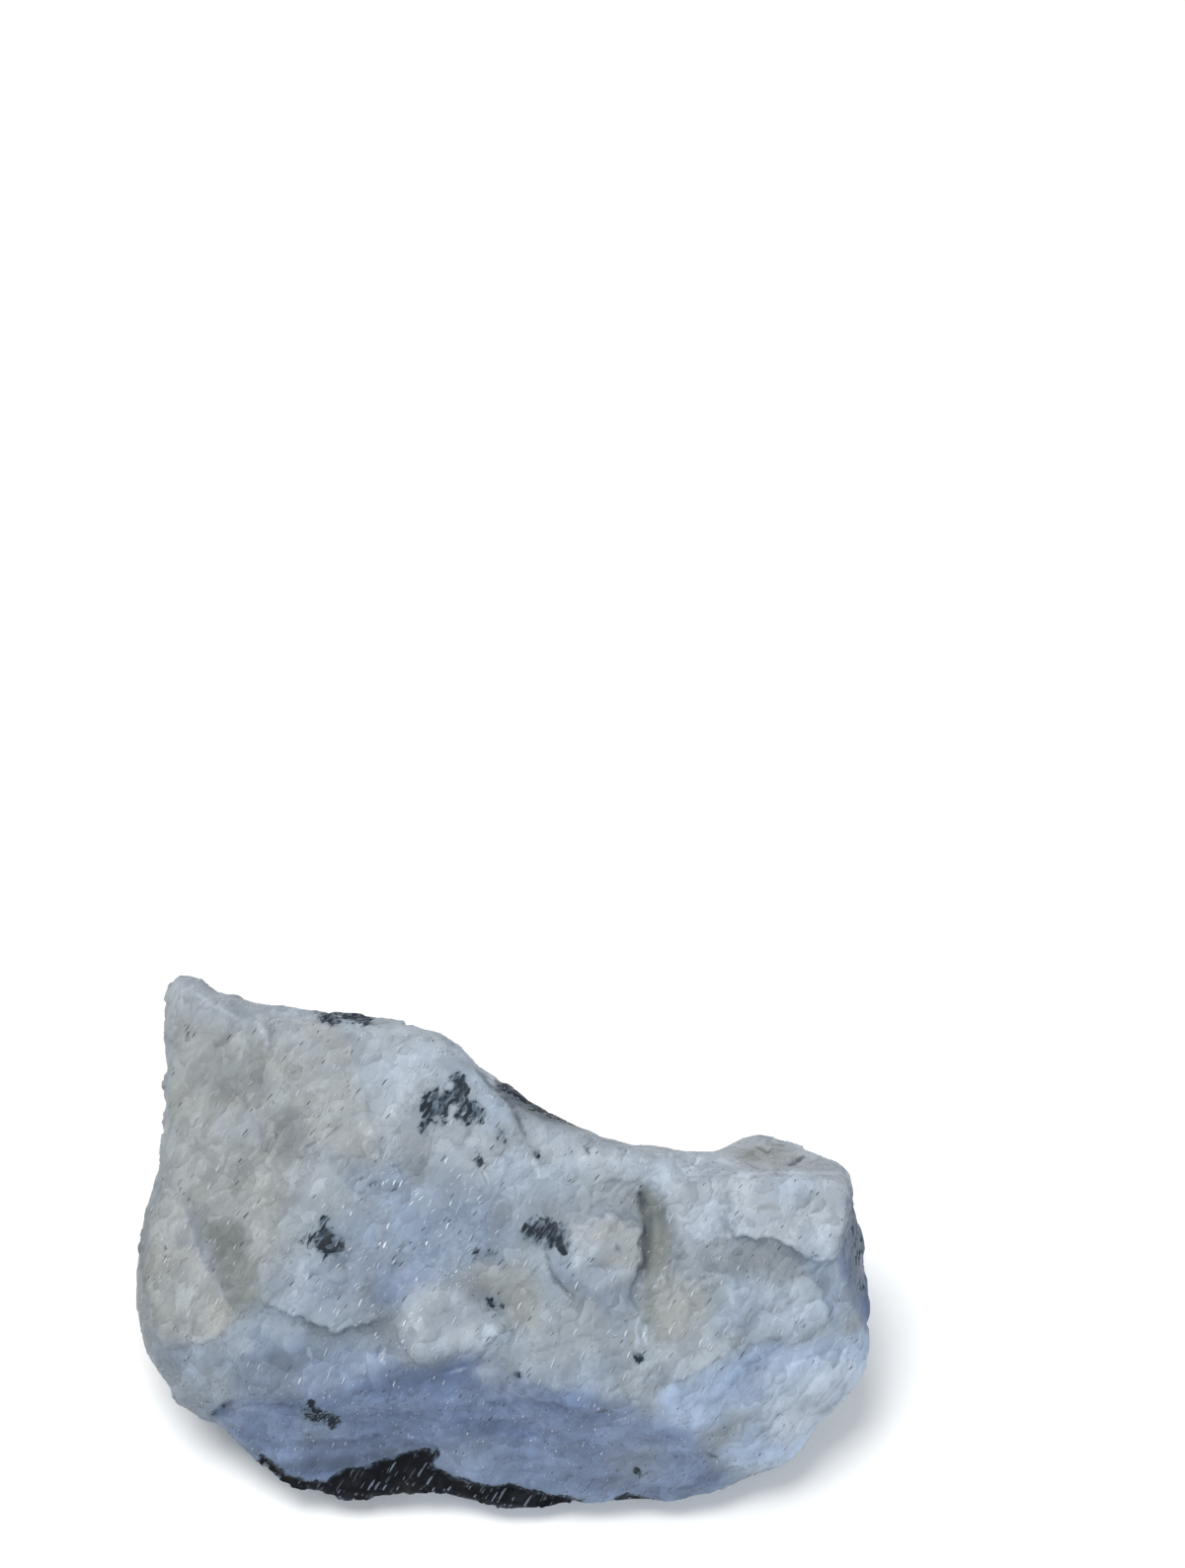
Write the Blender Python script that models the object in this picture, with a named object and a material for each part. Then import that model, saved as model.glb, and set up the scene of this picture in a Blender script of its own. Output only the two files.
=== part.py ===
"""Rough moonstone: one broken chunk of pale feldspar, lying on a small flat spot under its middle.

The stone is drawn as it is seen from above its long side. Its girdle is the line where that view's
sight just grazes it. Lines across the near side and the hidden side give the height of every edge,
ledge, plate and hollow. Both sides are faceted between their lines, and the broken crystal grain of
the feldspar is laid over them. Metres, +Z up, +X along the stone, -Y towards the viewer.
"""

import math

import bmesh
import bpy
from mathutils import Matrix, Vector, noise
from mathutils.geometry import delaunay_2d_cdt

MM = 0.001

# Driving dimensions. The lines below are drawn in millimetres for a stone of DRAWN_LENGTH.
LENGTH = 62.0 * MM
DRAWN_LENGTH = 62.0
SIGHT_ELEVATION = math.radians(60)

# Crystal grain. Each grain breaks on its own tilted plane, so its neighbours stand in steps.
VOXEL = 0.55 * MM
WORN = 4
GRAINS = (
    {"size": 7.5 * MM, "relief": 0.26 * MM, "seed": Vector((3.1, 7.7, 1.9))},
    {"size": 3.4 * MM, "relief": 0.15 * MM, "seed": Vector((8.3, 0.4, 5.2))},
)
KEPT_FACES = 8200
REST_CUT = 0.45 * MM

# Lines are lists of (across, up, height): where a point shows in the sight plane, and how high it
# stands above the table.
GIRDLE = (
    (-28.0, 45.0, 18.2), (-26.1, 44.5, 18.6), (-24.2, 43.4, 19.4), (-20.3, 42.6, 20.4),
    (-15.1, 41.8, 21.4), (-11.6, 41.6, 22.2), (-8.7, 40.8, 22.9), (-6.2, 40.2, 23.2),
    (-4.0, 38.9, 23.2), (-2.3, 37.1, 22.8), (-0.2, 35.7, 21.8), (2.0, 34.1, 21.2),
    (5.4, 32.4, 21.4), (8.0, 31.3, 22.2), (11.7, 30.5, 22.6), (14.7, 29.9, 22.2),
    (17.5, 29.8, 21.4), (19.4, 30.6, 19.8), (21.5, 31.4, 18.6), (24.1, 30.9, 18.4),
    (26.2, 29.9, 18.4), (28.4, 29.2, 18.6), (29.3, 28.0, 18.2), (29.8, 25.5, 16.6),
    (30.6, 22.1, 14.4), (30.8, 19.5, 12.6), (30.7, 16.6, 11.4), (31.1, 14.0, 9.6),
    (30.8, 11.8, 8.8), (29.2, 9.2, 7.6), (27.1, 7.0, 6.4), (25.4, 4.4, 5.2),
    (23.8, 3.2, 4.6), (20.7, 2.6, 4.2), (19.0, 1.5, 3.6), (16.5, 0.5, 3.0),
    (12.4, 0.0, 2.6), (8.4, 0.0, 2.6), (4.6, -0.1, 2.6), (1.9, -0.3, 2.6),
    (-1.1, 0.0, 2.8), (-3.8, 0.6, 3.2), (-6.2, 1.4, 3.8), (-8.8, 0.6, 3.2),
    (-11.4, 0.1, 2.8), (-13.9, 0.5, 3.0), (-17.1, 1.1, 3.6), (-18.9, 2.2, 4.4),
    (-20.6, 3.4, 5.2), (-21.9, 4.9, 6.2), (-23.9, 6.7, 6.8), (-26.0, 7.4, 7.0),
    (-28.0, 8.6, 7.8), (-29.2, 10.7, 8.8), (-30.5, 12.9, 9.8), (-31.2, 16.1, 10.8),
    (-31.2, 19.6, 11.8), (-30.6, 24.8, 13.4), (-29.5, 28.1, 14.4), (-28.9, 32.8, 15.4),
    (-28.6, 36.5, 16.0), (-28.9, 40.8, 16.8), (-28.9, 43.6, 17.6),
)

NEAR_LINES = {
    "knob": ((-27.2, 43.2, 19.2), (-25.6, 42.4, 19.9)),
    "back brow": (
        (-24.0, 41.6, 20.8), (-19.5, 40.8, 21.9), (-15.0, 40.2, 23.0), (-11.0, 39.9, 24.0),
        (-7.2, 39.2, 24.6), (-4.6, 37.8, 24.8), (-2.7, 35.7, 24.8),
    ),
    "left brow": (
        (-27.4, 40.6, 18.6), (-27.0, 36.6, 18.2), (-27.3, 32.4, 17.6), (-28.2, 28.6, 16.2),
    ),
    "left crease": (
        (-18.6, 37.6, 22.0), (-17.2, 32.6, 21.7), (-15.4, 27.2, 21.1), (-14.2, 22.0, 20.4),
    ),
    "left dip": (
        (-23.6, 36.5, 19.6), (-22.6, 30.5, 19.1), (-22.2, 25.5, 18.6), (-21.3, 21.0, 18.3),
    ),
    "pale plate": (
        (-27.4, 25.9, 15.8), (-29.2, 24.2, 15.0), (-29.8, 19.6, 14.0), (-29.3, 15.4, 13.5),
        (-27.9, 14.2, 14.0), (-24.8, 14.5, 15.6), (-23.5, 15.3, 16.4), (-23.6, 16.8, 16.6),
        (-24.8, 19.0, 16.4), (-25.9, 22.4, 16.2), (-27.4, 25.9, 15.8),
    ),
    "pale plate foot": (
        (-29.6, 13.6, 11.8), (-27.0, 13.2, 12.9), (-24.0, 13.4, 14.7), (-22.6, 14.6, 15.8),
    ),
    "pale plate bank": (
        (-22.6, 17.2, 17.6), (-23.8, 19.6, 17.7), (-24.9, 22.8, 17.6), (-26.4, 26.4, 17.2),
    ),
    "plate brow": (
        (-20.0, 17.0, 18.4), (-17.6, 16.1, 18.5), (-15.9, 15.3, 18.4), (-14.4, 14.7, 18.2),
        (-13.5, 15.2, 18.5), (-11.2, 15.3, 18.9), (-9.6, 15.5, 19.2),
    ),
    "plate foot": (
        (-19.8, 16.2, 17.0), (-17.4, 15.4, 17.1), (-15.7, 14.6, 17.0), (-14.3, 13.9, 16.8),
        (-13.2, 14.5, 17.1), (-11.1, 14.6, 17.6), (-10.0, 14.6, 18.0),
    ),
    "bump crest": (
        (-9.0, 15.4, 19.8), (-7.9, 18.0, 20.8), (-5.9, 18.8, 21.1), (-4.0, 18.3, 20.9),
        (-2.0, 16.8, 20.4),
    ),
    "bump face": (
        (-8.6, 13.5, 18.8), (-7.4, 12.6, 18.3), (-5.6, 12.5, 18.2), (-2.2, 13.6, 18.7),
        (-0.1, 14.7, 19.2),
    ),
    "bump foot": (
        (-9.4, 12.7, 17.2), (-7.6, 11.6, 16.4), (-5.2, 11.4, 16.3), (-1.6, 12.5, 17.0),
        (0.9, 13.9, 18.0),
    ),
    "behind bump": ((-2.2, 19.4, 20.2), (-0.4, 18.0, 19.6), (1.0, 16.4, 18.9)),
    "front rim left": (
        (-27.8, 12.4, 11.8), (-24.6, 11.6, 13.3), (-21.4, 10.8, 13.9), (-18.0, 10.3, 14.4),
        (-14.6, 10.4, 15.0), (-12.0, 10.9, 15.8),
    ),
    "front rim middle": (
        (2.0, 10.4, 16.6), (5.0, 9.7, 16.4), (8.4, 9.5, 16.4), (10.4, 8.9, 15.8), (13.2, 8.4, 15.2),
    ),
    "front rim right": ((15.6, 10.4, 16.6), (18.6, 12.6, 17.0), (21.4, 14.0, 16.8)),
    "scoop floor": ((15.6, 7.6, 13.6), (18.2, 9.3, 13.2), (20.9, 11.2, 13.6), (22.6, 12.6, 14.4)),
    "lobe ridge": (
        (18.8, 6.6, 11.8), (20.4, 8.5, 12.7), (22.6, 10.3, 13.4), (24.2, 12.2, 14.4),
        (26.8, 13.4, 14.3),
    ),
    "lobe face": ((21.6, 5.4, 9.6), (24.2, 7.4, 10.6), (27.0, 10.0, 11.4), (29.0, 12.2, 11.6)),
    "wall shelf": (
        (-25.4, 10.2, 11.2), (-22.0, 8.9, 12.0), (-17.6, 7.9, 12.2), (-13.0, 8.2, 12.6),
        (-9.2, 8.9, 13.6), (-5.4, 9.4, 14.2),
    ),
    "wall shelf foot": (
        (-21.6, 7.8, 9.8), (-17.4, 7.0, 9.9), (-12.8, 7.2, 10.2), (-8.6, 7.7, 11.2),
    ),
    "wall rib": ((-4.4, 8.2, 13.1), (-2.6, 5.6, 10.4), (-2.4, 3.4, 7.3)),
    "wall dent": ((1.2, 7.6, 11.7), (2.0, 5.2, 8.9), (2.6, 3.2, 6.1)),
    "wall rib right": ((5.6, 7.8, 14.1), (6.8, 5.2, 10.5), (7.2, 2.6, 6.6)),
    "wall right": ((11.0, 6.8, 12.3), (12.0, 4.2, 8.3), (16.4, 4.4, 8.6)),
    "wall left": ((-15.0, 4.6, 7.0), (-9.6, 5.2, 7.4)),
    "dark seam": (
        (-18.2, 3.6, 5.6), (-14.6, 2.6, 5.0), (-11.0, 3.2, 5.5), (-7.4, 3.8, 6.0), (-5.6, 2.9, 5.3),
        (-2.0, 1.8, 4.5), (3.0, 1.2, 3.9),
    ),
    "table": ((-10.0, 34.5, 23.0), (-7.6, 29.0, 22.2), (-8.4, 23.5, 21.1), (-11.2, 19.6, 20.2)),
    "cleavage step top": ((-1.5, 34.7, 24.9), (0.3, 33.1, 24.7), (1.6, 30.6, 24.3), (2.6, 28.2, 23.7)),
    "cleavage step foot": ((-0.7, 34.6, 23.9), (0.9, 33.1, 23.7), (2.1, 30.8, 23.6)),
    "back brow middle": ((3.1, 32.6, 23.7), (6.2, 31.2, 23.8), (9.0, 30.1, 24.0), (13.4, 29.2, 24.0)),
    "middle": ((-3.4, 28.0, 22.7), (-1.0, 24.2, 21.7), (0.6, 20.6, 20.7)),
    "hollow brow": ((6.9, 26.7, 23.3), (9.3, 27.8, 23.6), (11.1, 27.8, 23.6)),
    "hollow": ((7.8, 25.6, 22.1), (10.4, 25.7, 22.0)),
    "crack": ((3.4, 21.2, 21.0), (4.1, 19.2, 20.1), (5.7, 17.4, 19.4)),
    "crack lip": ((4.2, 21.6, 21.6), (4.9, 19.6, 20.9), (6.6, 17.9, 20.2)),
    "knuckle": (
        (7.6, 24.4, 22.5), (10.3, 24.3, 22.9), (11.5, 23.0, 22.7), (11.3, 20.9, 22.0),
        (10.1, 19.0, 21.2), (9.4, 16.8, 20.1), (9.0, 14.2, 18.9),
    ),
    "knuckle top": ((6.6, 22.4, 22.0), (7.9, 20.4, 21.6)),
    "valley": (
        (12.1, 27.2, 22.5), (12.5, 24.2, 21.3), (12.4, 21.2, 20.4), (11.3, 18.6, 19.5),
        (10.9, 15.4, 18.4), (10.8, 12.4, 17.4),
    ),
    "valley bank": (
        (15.0, 26.6, 23.2), (15.2, 22.6, 22.1), (15.0, 19.4, 21.1), (14.6, 15.6, 19.4),
        (14.0, 12.2, 17.9),
    ),
    "low bench": ((3.0, 14.4, 18.5), (5.4, 12.6, 17.8)),
    "ledge": ((16.4, 19.9, 21.6), (19.0, 19.8, 21.2), (19.7, 18.2, 20.1)),
    "ledge foot": ((16.6, 19.0, 20.6), (18.6, 18.9, 20.3)),
    "pale cap": (
        (18.9, 27.5, 24.0), (21.0, 27.7, 23.8), (24.0, 27.8, 23.4), (27.4, 27.5, 22.6),
        (28.9, 27.0, 22.0), (28.8, 24.4, 21.6), (28.0, 21.8, 21.2), (26.9, 21.2, 21.3),
        (24.7, 21.8, 21.7), (22.8, 22.6, 22.2), (20.4, 22.9, 22.6), (19.7, 23.1, 22.7),
        (18.9, 24.7, 23.2), (18.9, 27.5, 24.0),
    ),
    "pale cap foot": (
        (18.2, 27.3, 23.4), (18.1, 24.6, 22.2), (19.2, 22.3, 21.5), (22.6, 21.9, 20.9),
        (24.4, 21.0, 20.2), (26.8, 20.4, 19.6), (28.5, 20.9, 19.0),
    ),
    "lower plate": (
        (21.8, 19.2, 19.9), (26.6, 18.4, 18.3), (27.5, 16.6, 17.2), (26.7, 14.9, 16.2),
        (23.6, 14.9, 17.2),
    ),
    "end brow": ((29.2, 24.0, 18.8), (29.2, 20.6, 16.8), (29.4, 17.2, 14.4), (29.6, 14.4, 12.4)),
    "back slope": ((21.4, 29.6, 21.2), (25.0, 29.3, 20.8)),
}

# The hidden side: lists of (x, y, z) in millimetres.
HIDDEN_LINES = {
    "rest spot": (
        (-13.0, 10.0, 0.0), (-6.0, 5.0, 0.0), (6.0, 4.5, 0.0), (14.0, 8.0, 0.0), (15.5, 17.0, 0.0),
        (8.0, 25.0, 0.0), (-4.0, 26.5, 0.0), (-12.5, 20.0, 0.0), (-13.0, 10.0, 0.0),
    ),
    "left keel": ((-21.0, 8.5, 4.0), (-24.5, 16.0, 5.4), (-25.0, 25.0, 7.0), (-22.0, 32.5, 8.2)),
    "left foot": ((-18.0, 14.0, 2.6), (-18.5, 24.0, 3.6)),
    "horn": ((-27.2, 37.2, 12.4), (-26.6, 40.0, 14.6), (-23.8, 39.6, 15.0)),
    "back shoulder": (
        (-24.6, 37.2, 10.6), (-15.6, 38.6, 12.4), (-8.4, 37.0, 10.4), (0.4, 31.4, 11.8),
        (9.0, 27.2, 12.8), (14.0, 26.2, 12.6), (19.6, 28.0, 9.6), (26.2, 25.0, 9.2),
    ),
    "back rib": ((-12.0, 36.0, 8.2), (-9.0, 32.0, 3.2)),
    "back hollow": ((-3.0, 33.2, 8.6), (3.0, 29.4, 7.4), (11.0, 26.8, 7.2)),
    "back foot": (
        (-16.0, 32.0, 4.6), (-3.0, 31.4, 2.6), (7.0, 28.6, 3.0), (17.0, 26.0, 4.0),
        (23.5, 19.0, 4.2),
    ),
    "right keel": ((27.6, 15.0, 5.4), (24.4, 8.6, 3.6), (18.6, 3.6, 2.2)),
}


def seen(across, up, height):
    """The point that shows at (across, up) in the sight plane and stands that high above the table."""
    towards = (height - up * math.cos(SIGHT_ELEVATION)) / math.sin(SIGHT_ELEVATION)
    back = up * math.sin(SIGHT_ELEVATION) - towards * math.cos(SIGHT_ELEVATION)
    return Vector((across, back, height))


def in_sight_plane(point):
    """Where a point shows in the sight plane."""
    up = point.y * math.sin(SIGHT_ELEVATION) + point.z * math.cos(SIGHT_ELEVATION)
    return Vector((point.x, up))


def add_side(bm, rim, lines):
    """Facets one side of the stone between its rim and the lines across it."""
    points = [vert.co for vert in rim]
    edges = [(i, (i + 1) % len(rim)) for i in range(len(rim))]
    for line in lines:
        first = len(points)
        points.extend(line)
        edges.extend((first + i, first + i + 1) for i in range(len(line) - 1))
    flat = [in_sight_plane(point) for point in points]
    corners, _, faces, sources, _, _ = delaunay_2d_cdt(
        flat, edges, [list(range(len(rim)))], 1, 1e-4
    )
    if not all(sources):
        raise ValueError("two lines of one side cross")
    verts = []
    for source in sources:
        first = min(source)
        verts.append(rim[first] if first < len(rim) else bm.verts.new(points[first]))
    for face in faces:
        bm.faces.new([verts[i] for i in face])


def faceted_stone():
    """The stone as flat facets between its lines, in metres."""
    bm = bmesh.new()
    rim = [bm.verts.new(seen(*point)) for point in GIRDLE]
    add_side(bm, rim, [[seen(*point) for point in line] for line in NEAR_LINES.values()])
    add_side(bm, rim, [[Vector(point) for point in line] for line in HIDDEN_LINES.values()])
    bmesh.ops.recalc_face_normals(bm, faces=bm.faces)
    bmesh.ops.scale(bm, vec=[LENGTH / DRAWN_LENGTH] * 3, verts=bm.verts)
    mesh = bpy.data.meshes.new("moonstone")
    bm.to_mesh(mesh)
    bm.free()
    return mesh


def apply_modifiers(stone):
    """Replaces the object's mesh by what its modifiers make of it."""
    graph = bpy.context.evaluated_depsgraph_get()
    made = bpy.data.meshes.new_from_object(stone.evaluated_get(graph))
    stone.modifiers.clear()
    stone.data = made


def grain_height(point, grain):
    """How far the broken face of the grain at this point stands out of the stone's surface."""
    place = point / grain["size"] + grain["seed"]
    centre = noise.voronoi(place)[1][0]
    tilt = noise.cell_vector(centre * 7.3) - Vector((0.5, 0.5, 0.5))
    lift = noise.cell(centre * 5.1) / 2
    return grain["relief"] * (1.6 * tilt.dot(place - centre) + 0.7 * lift)


def break_grain(mesh):
    """Moves the surface in and out along its normals, grain by grain."""
    for vert, normal in [(vert, vert.normal.copy()) for vert in mesh.vertices]:
        vert.co += normal * sum(grain_height(vert.co, grain) for grain in GRAINS)


def cut_rest_face(mesh):
    """Cuts the stone flat where it rests, and sets that face on z = 0."""
    bm = bmesh.new()
    bm.from_mesh(mesh)
    cut = bmesh.ops.bisect_plane(
        bm,
        geom=bm.verts[:] + bm.edges[:] + bm.faces[:],
        plane_co=(0, 0, REST_CUT),
        plane_no=(0, 0, -1),
        clear_outer=True,
    )
    edges = [part for part in cut["geom_cut"] if isinstance(part, bmesh.types.BMEdge)]
    bmesh.ops.triangle_fill(bm, use_beauty=True, edges=edges, normal=(0, 0, -1))
    bmesh.ops.translate(bm, vec=(0, 0, -REST_CUT), verts=bm.verts)
    bm.to_mesh(mesh)
    bm.free()


def centre_on_base(mesh):
    """Sets the origin under the middle of the stone, in the plane that it rests on."""
    xs = [vert.co.x for vert in mesh.vertices]
    ys = [vert.co.y for vert in mesh.vertices]
    middle = Vector(((min(xs) + max(xs)) / 2, (min(ys) + max(ys)) / 2, 0))
    mesh.transform(Matrix.Translation(-middle))


def feldspar():
    """Bluish white feldspar with a soft gloss."""
    material = bpy.data.materials.new("feldspar")
    material.use_nodes = True
    shader = material.node_tree.nodes["Principled BSDF"]
    shader.inputs["Base Color"].default_value = (0.47, 0.53, 0.58, 1)
    shader.inputs["Roughness"].default_value = 0.42
    shader.inputs["Metallic"].default_value = 0
    return material


def build():
    for old in list(bpy.data.objects):
        bpy.data.objects.remove(old)
    stone = bpy.data.objects.new("moonstone", faceted_stone())
    bpy.context.scene.collection.objects.link(stone)
    remesh = stone.modifiers.new("even mesh", "REMESH")
    remesh.mode = "VOXEL"
    remesh.voxel_size = VOXEL
    wear = stone.modifiers.new("worn edges", "SMOOTH")
    wear.iterations = WORN
    apply_modifiers(stone)
    break_grain(stone.data)
    thin = stone.modifiers.new("fewer faces", "DECIMATE")
    thin.ratio = KEPT_FACES / (2 * len(stone.data.polygons))
    apply_modifiers(stone)
    cut_rest_face(stone.data)
    centre_on_base(stone.data)
    stone.data.materials.append(feldspar())


build()
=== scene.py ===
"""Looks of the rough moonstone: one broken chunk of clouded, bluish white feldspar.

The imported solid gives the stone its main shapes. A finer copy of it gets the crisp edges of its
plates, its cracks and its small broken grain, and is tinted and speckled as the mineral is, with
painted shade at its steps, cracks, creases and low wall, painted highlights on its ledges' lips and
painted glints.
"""

import math

import bpy
import numpy as np
from mathutils import Matrix, Vector, noise


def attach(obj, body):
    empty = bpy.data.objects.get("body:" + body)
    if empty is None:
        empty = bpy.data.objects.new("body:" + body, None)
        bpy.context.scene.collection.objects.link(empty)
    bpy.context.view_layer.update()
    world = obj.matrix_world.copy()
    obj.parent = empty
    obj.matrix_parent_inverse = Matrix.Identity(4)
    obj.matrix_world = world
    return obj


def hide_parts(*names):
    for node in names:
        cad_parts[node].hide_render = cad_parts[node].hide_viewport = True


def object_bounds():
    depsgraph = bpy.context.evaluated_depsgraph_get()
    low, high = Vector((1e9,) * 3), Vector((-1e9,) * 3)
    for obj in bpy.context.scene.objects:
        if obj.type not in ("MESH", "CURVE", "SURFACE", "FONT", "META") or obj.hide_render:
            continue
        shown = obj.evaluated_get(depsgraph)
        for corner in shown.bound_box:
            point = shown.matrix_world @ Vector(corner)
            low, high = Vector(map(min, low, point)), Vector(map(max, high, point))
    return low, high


MM = 0.001

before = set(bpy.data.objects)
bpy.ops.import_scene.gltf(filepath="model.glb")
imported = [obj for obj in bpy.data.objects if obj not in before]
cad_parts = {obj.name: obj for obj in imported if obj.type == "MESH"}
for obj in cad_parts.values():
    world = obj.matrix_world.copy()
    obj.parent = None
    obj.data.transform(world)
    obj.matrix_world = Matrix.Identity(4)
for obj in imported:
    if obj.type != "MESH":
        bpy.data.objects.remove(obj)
cad_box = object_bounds()

# The sight plane. Marks on the near side are placed by where they show in it, in millimetres:
# (across, up), with up measured from the stone's lowest visible edge.
SIGHT_ELEVATION = math.radians(60)
ACROSS = Vector((1, 0, 0))
UP = Vector((0, math.sin(SIGHT_ELEVATION), math.cos(SIGHT_ELEVATION)))
TOWARDS = Vector((0, -math.cos(SIGHT_ELEVATION), math.sin(SIGHT_ELEVATION)))
DRAWING_ORIGIN = Vector((0.0795, -19.717, -0.45)) * MM

# The broken grain leans to the right as it runs up the sight plane.
LEAN = math.radians(58)
GRAIN_ALONG = ACROSS * math.cos(LEAN) + UP * math.sin(LEAN)
GRAIN_ACROSS = TOWARDS.cross(GRAIN_ALONG)
GRAIN_FRAME = Matrix((GRAIN_ALONG, GRAIN_ACROSS, TOWARDS)).transposed()

# The size of the fine copy's faces on the far side, and how far its smoothing sinks it, in mm.
COARSE_VOXEL = 0.455 * MM
SMOOTHING_LOSS = 0.12


# Shape

def select_only(piece):
    bpy.ops.object.select_all(action="DESELECT")
    piece.select_set(True)
    bpy.context.view_layer.objects.active = piece


def fine_copy(node, name):
    """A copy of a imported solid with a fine, even mesh, finest on the near side."""
    select_only(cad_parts[node])
    bpy.ops.object.duplicate()
    piece = bpy.context.active_object
    piece.name = name
    piece.data.name = name
    bpy.ops.object.mode_set(mode="EDIT")
    bpy.ops.mesh.select_all(action="SELECT")
    bpy.ops.mesh.remove_doubles(threshold=0.00001)
    bpy.ops.object.mode_set(mode="OBJECT")
    for kind, settings in (
        ("REMESH", {"mode": "VOXEL", "voxel_size": COARSE_VOXEL}),
        ("SMOOTH", {"factor": 0.5, "iterations": 3}),
    ):
        modifier = piece.modifiers.new(kind.title(), kind)
        for key, value in settings.items():
            setattr(modifier, key, value)
        bpy.ops.object.modifier_apply(modifier=modifier.name)
    for face in piece.data.polygons:
        face.select = face.normal.dot(TOWARDS) > 0.1
    bpy.ops.object.mode_set(mode="EDIT")
    bpy.ops.mesh.select_mode(type="FACE")
    bpy.ops.mesh.subdivide(number_cuts=1, smoothness=0)
    bpy.ops.mesh.select_all(action="SELECT")
    bpy.ops.mesh.vertices_smooth(factor=0.5, repeat=1)
    bpy.ops.object.mode_set(mode="OBJECT")
    return piece


def read_points_and_normals(mesh):
    both = []
    for items, name in ((mesh.vertices, "co"), (mesh.vertex_normals, "vector")):
        flat = np.empty(len(items) * 3)
        items.foreach_get(name, flat)
        both.append(flat.reshape(-1, 3))
    return both


def write_points(mesh, points):
    mesh.vertices.foreach_set("co", points.ravel())
    mesh.update()


def ramp(low, high, value):
    """0 below low, 1 above high, and a smooth rise between them."""
    t = np.clip((value - low) / (high - low), 0, 1)
    return t * t * (3 - 2 * t)


class Sight:
    """Where each point of the stone shows in the sight plane, in millimetres.

    near, seen and tinted are 1 on faces that look at the viewer. near falls to 0 at the edge of
    sight and is for relief. seen falls just past it, for lines, and tinted well round it, for clouds.
    """

    def __init__(self, points, normals):
        drawn = (points - np.array(DRAWING_ORIGIN)) / MM
        self.place = np.stack([drawn @ np.array(ACROSS), drawn @ np.array(UP)], axis=1)
        self.near = ramp(0.0, 0.25, normals @ np.array(TOWARDS))
        self.seen = ramp(-0.18, 0.0, normals @ np.array(TOWARDS))
        self.tinted = ramp(-0.60, 0.0, normals @ np.array(TOWARDS))

    def to_line(self, line, closed=False):
        """Distance to a line, which side of it a point is on, and how far from its ends."""
        ends = np.array(line, float)
        if closed:
            ends = np.vstack([ends, ends[:1]])
        best = np.full(len(self.place), np.inf)
        side = np.zeros(len(self.place))
        run = np.zeros(len(self.place))
        total = np.linalg.norm(np.diff(ends, axis=0), axis=1).sum()
        before = 0.0
        for start, stop in zip(ends[:-1], ends[1:]):
            step = stop - start
            length = np.linalg.norm(step)
            along = np.clip((self.place - start) @ step / length**2, 0, 1)
            gap = self.place - start - along[:, None] * step
            distance = np.hypot(gap[:, 0], gap[:, 1])
            nearer = distance < best
            best[nearer] = distance[nearer]
            left = step[0] * (self.place[:, 1] - start[1]) - step[1] * (self.place[:, 0] - start[0])
            side[nearer] = np.sign(left[nearer])
            run[nearer] = (before + along * length)[nearer]
            before += length
        return best, side, np.minimum(run, total - run)

    def inside(self, outline):
        """How far inside a closed outline each point is, and negative outside it."""
        distance, _, _ = self.to_line(outline, closed=True)
        corners = np.array(outline, float)
        odd = np.zeros(len(self.place), bool)
        for (x0, y0), (x1, y1) in zip(corners, np.roll(corners, -1, axis=0)):
            if y0 == y1:
                continue
            between = (self.place[:, 1] > min(y0, y1)) & (self.place[:, 1] <= max(y0, y1))
            crossing = x0 + (self.place[:, 1] - y0) * (x1 - x0) / (y1 - y0)
            odd ^= between & (self.place[:, 0] < crossing)
        return np.where(odd, distance, -distance)


# Outlines and lines that are used more than once.
WALL_SHOULDER = ((-22.4, 12.6), (-15, 12.8), (-13.8, 10), (-16, 9.2), (-22, 9.2))
VALLEY_SLOT = ((11.4, 26.6), (11.6, 25.6), (11.7, 24.6))
SADDLE_NICK = ((6.8, 30.3), (7.2, 29.6))
FOOT_NICK = ((17, 4.5), (17.6, 4.2), (18, 4.1))
PALE_CAP = (
    (18.9, 27.6), (18.9, 26), (19.1, 25.4), (19.1, 24.8), (18.8, 24.4), (18.9, 23.8), (19.3, 23.3),
    (19.5, 22.8), (20.9, 22.7), (22.3, 22.6), (22.9, 22.5), (23.8, 22), (24.6, 21.5), (25.5, 21.1),
    (26.5, 20.9), (27.4, 20.9), (28.1, 21.1), (28.3, 21.5), (28.5, 22.9), (28.8, 24.2), (29, 25.5),
    (29.1, 27.1), (28.8, 27.8), (27.2, 28), (24.1, 28), (21.4, 27.8),
)
PALE_PLATE = (
    (-29.6, 15.8), (-29.4, 14.4), (-28.9, 13.7), (-28.2, 13.6), (-26.9, 13.7), (-25.5, 13.9), (-24.8, 14),
    (-23.9, 14.6), (-23.3, 15.4), (-22.9, 16.1), (-23.5, 17.2), (-24.1, 18.6), (-24.9, 19.7), (-25.6, 20.9),
    (-26.2, 22.4), (-27.2, 25), (-28.6, 27), (-30, 24), (-30.5, 20), (-30.2, 17.9),
)

# Plates stand out of the surface inside their outline: (height in mm, outline). Their height also
# sets the painted shade at their foot and the painted highlight on their rim.
PLATES = (
    (0.10, PALE_CAP),
    (0.14, PALE_PLATE),
)
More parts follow.
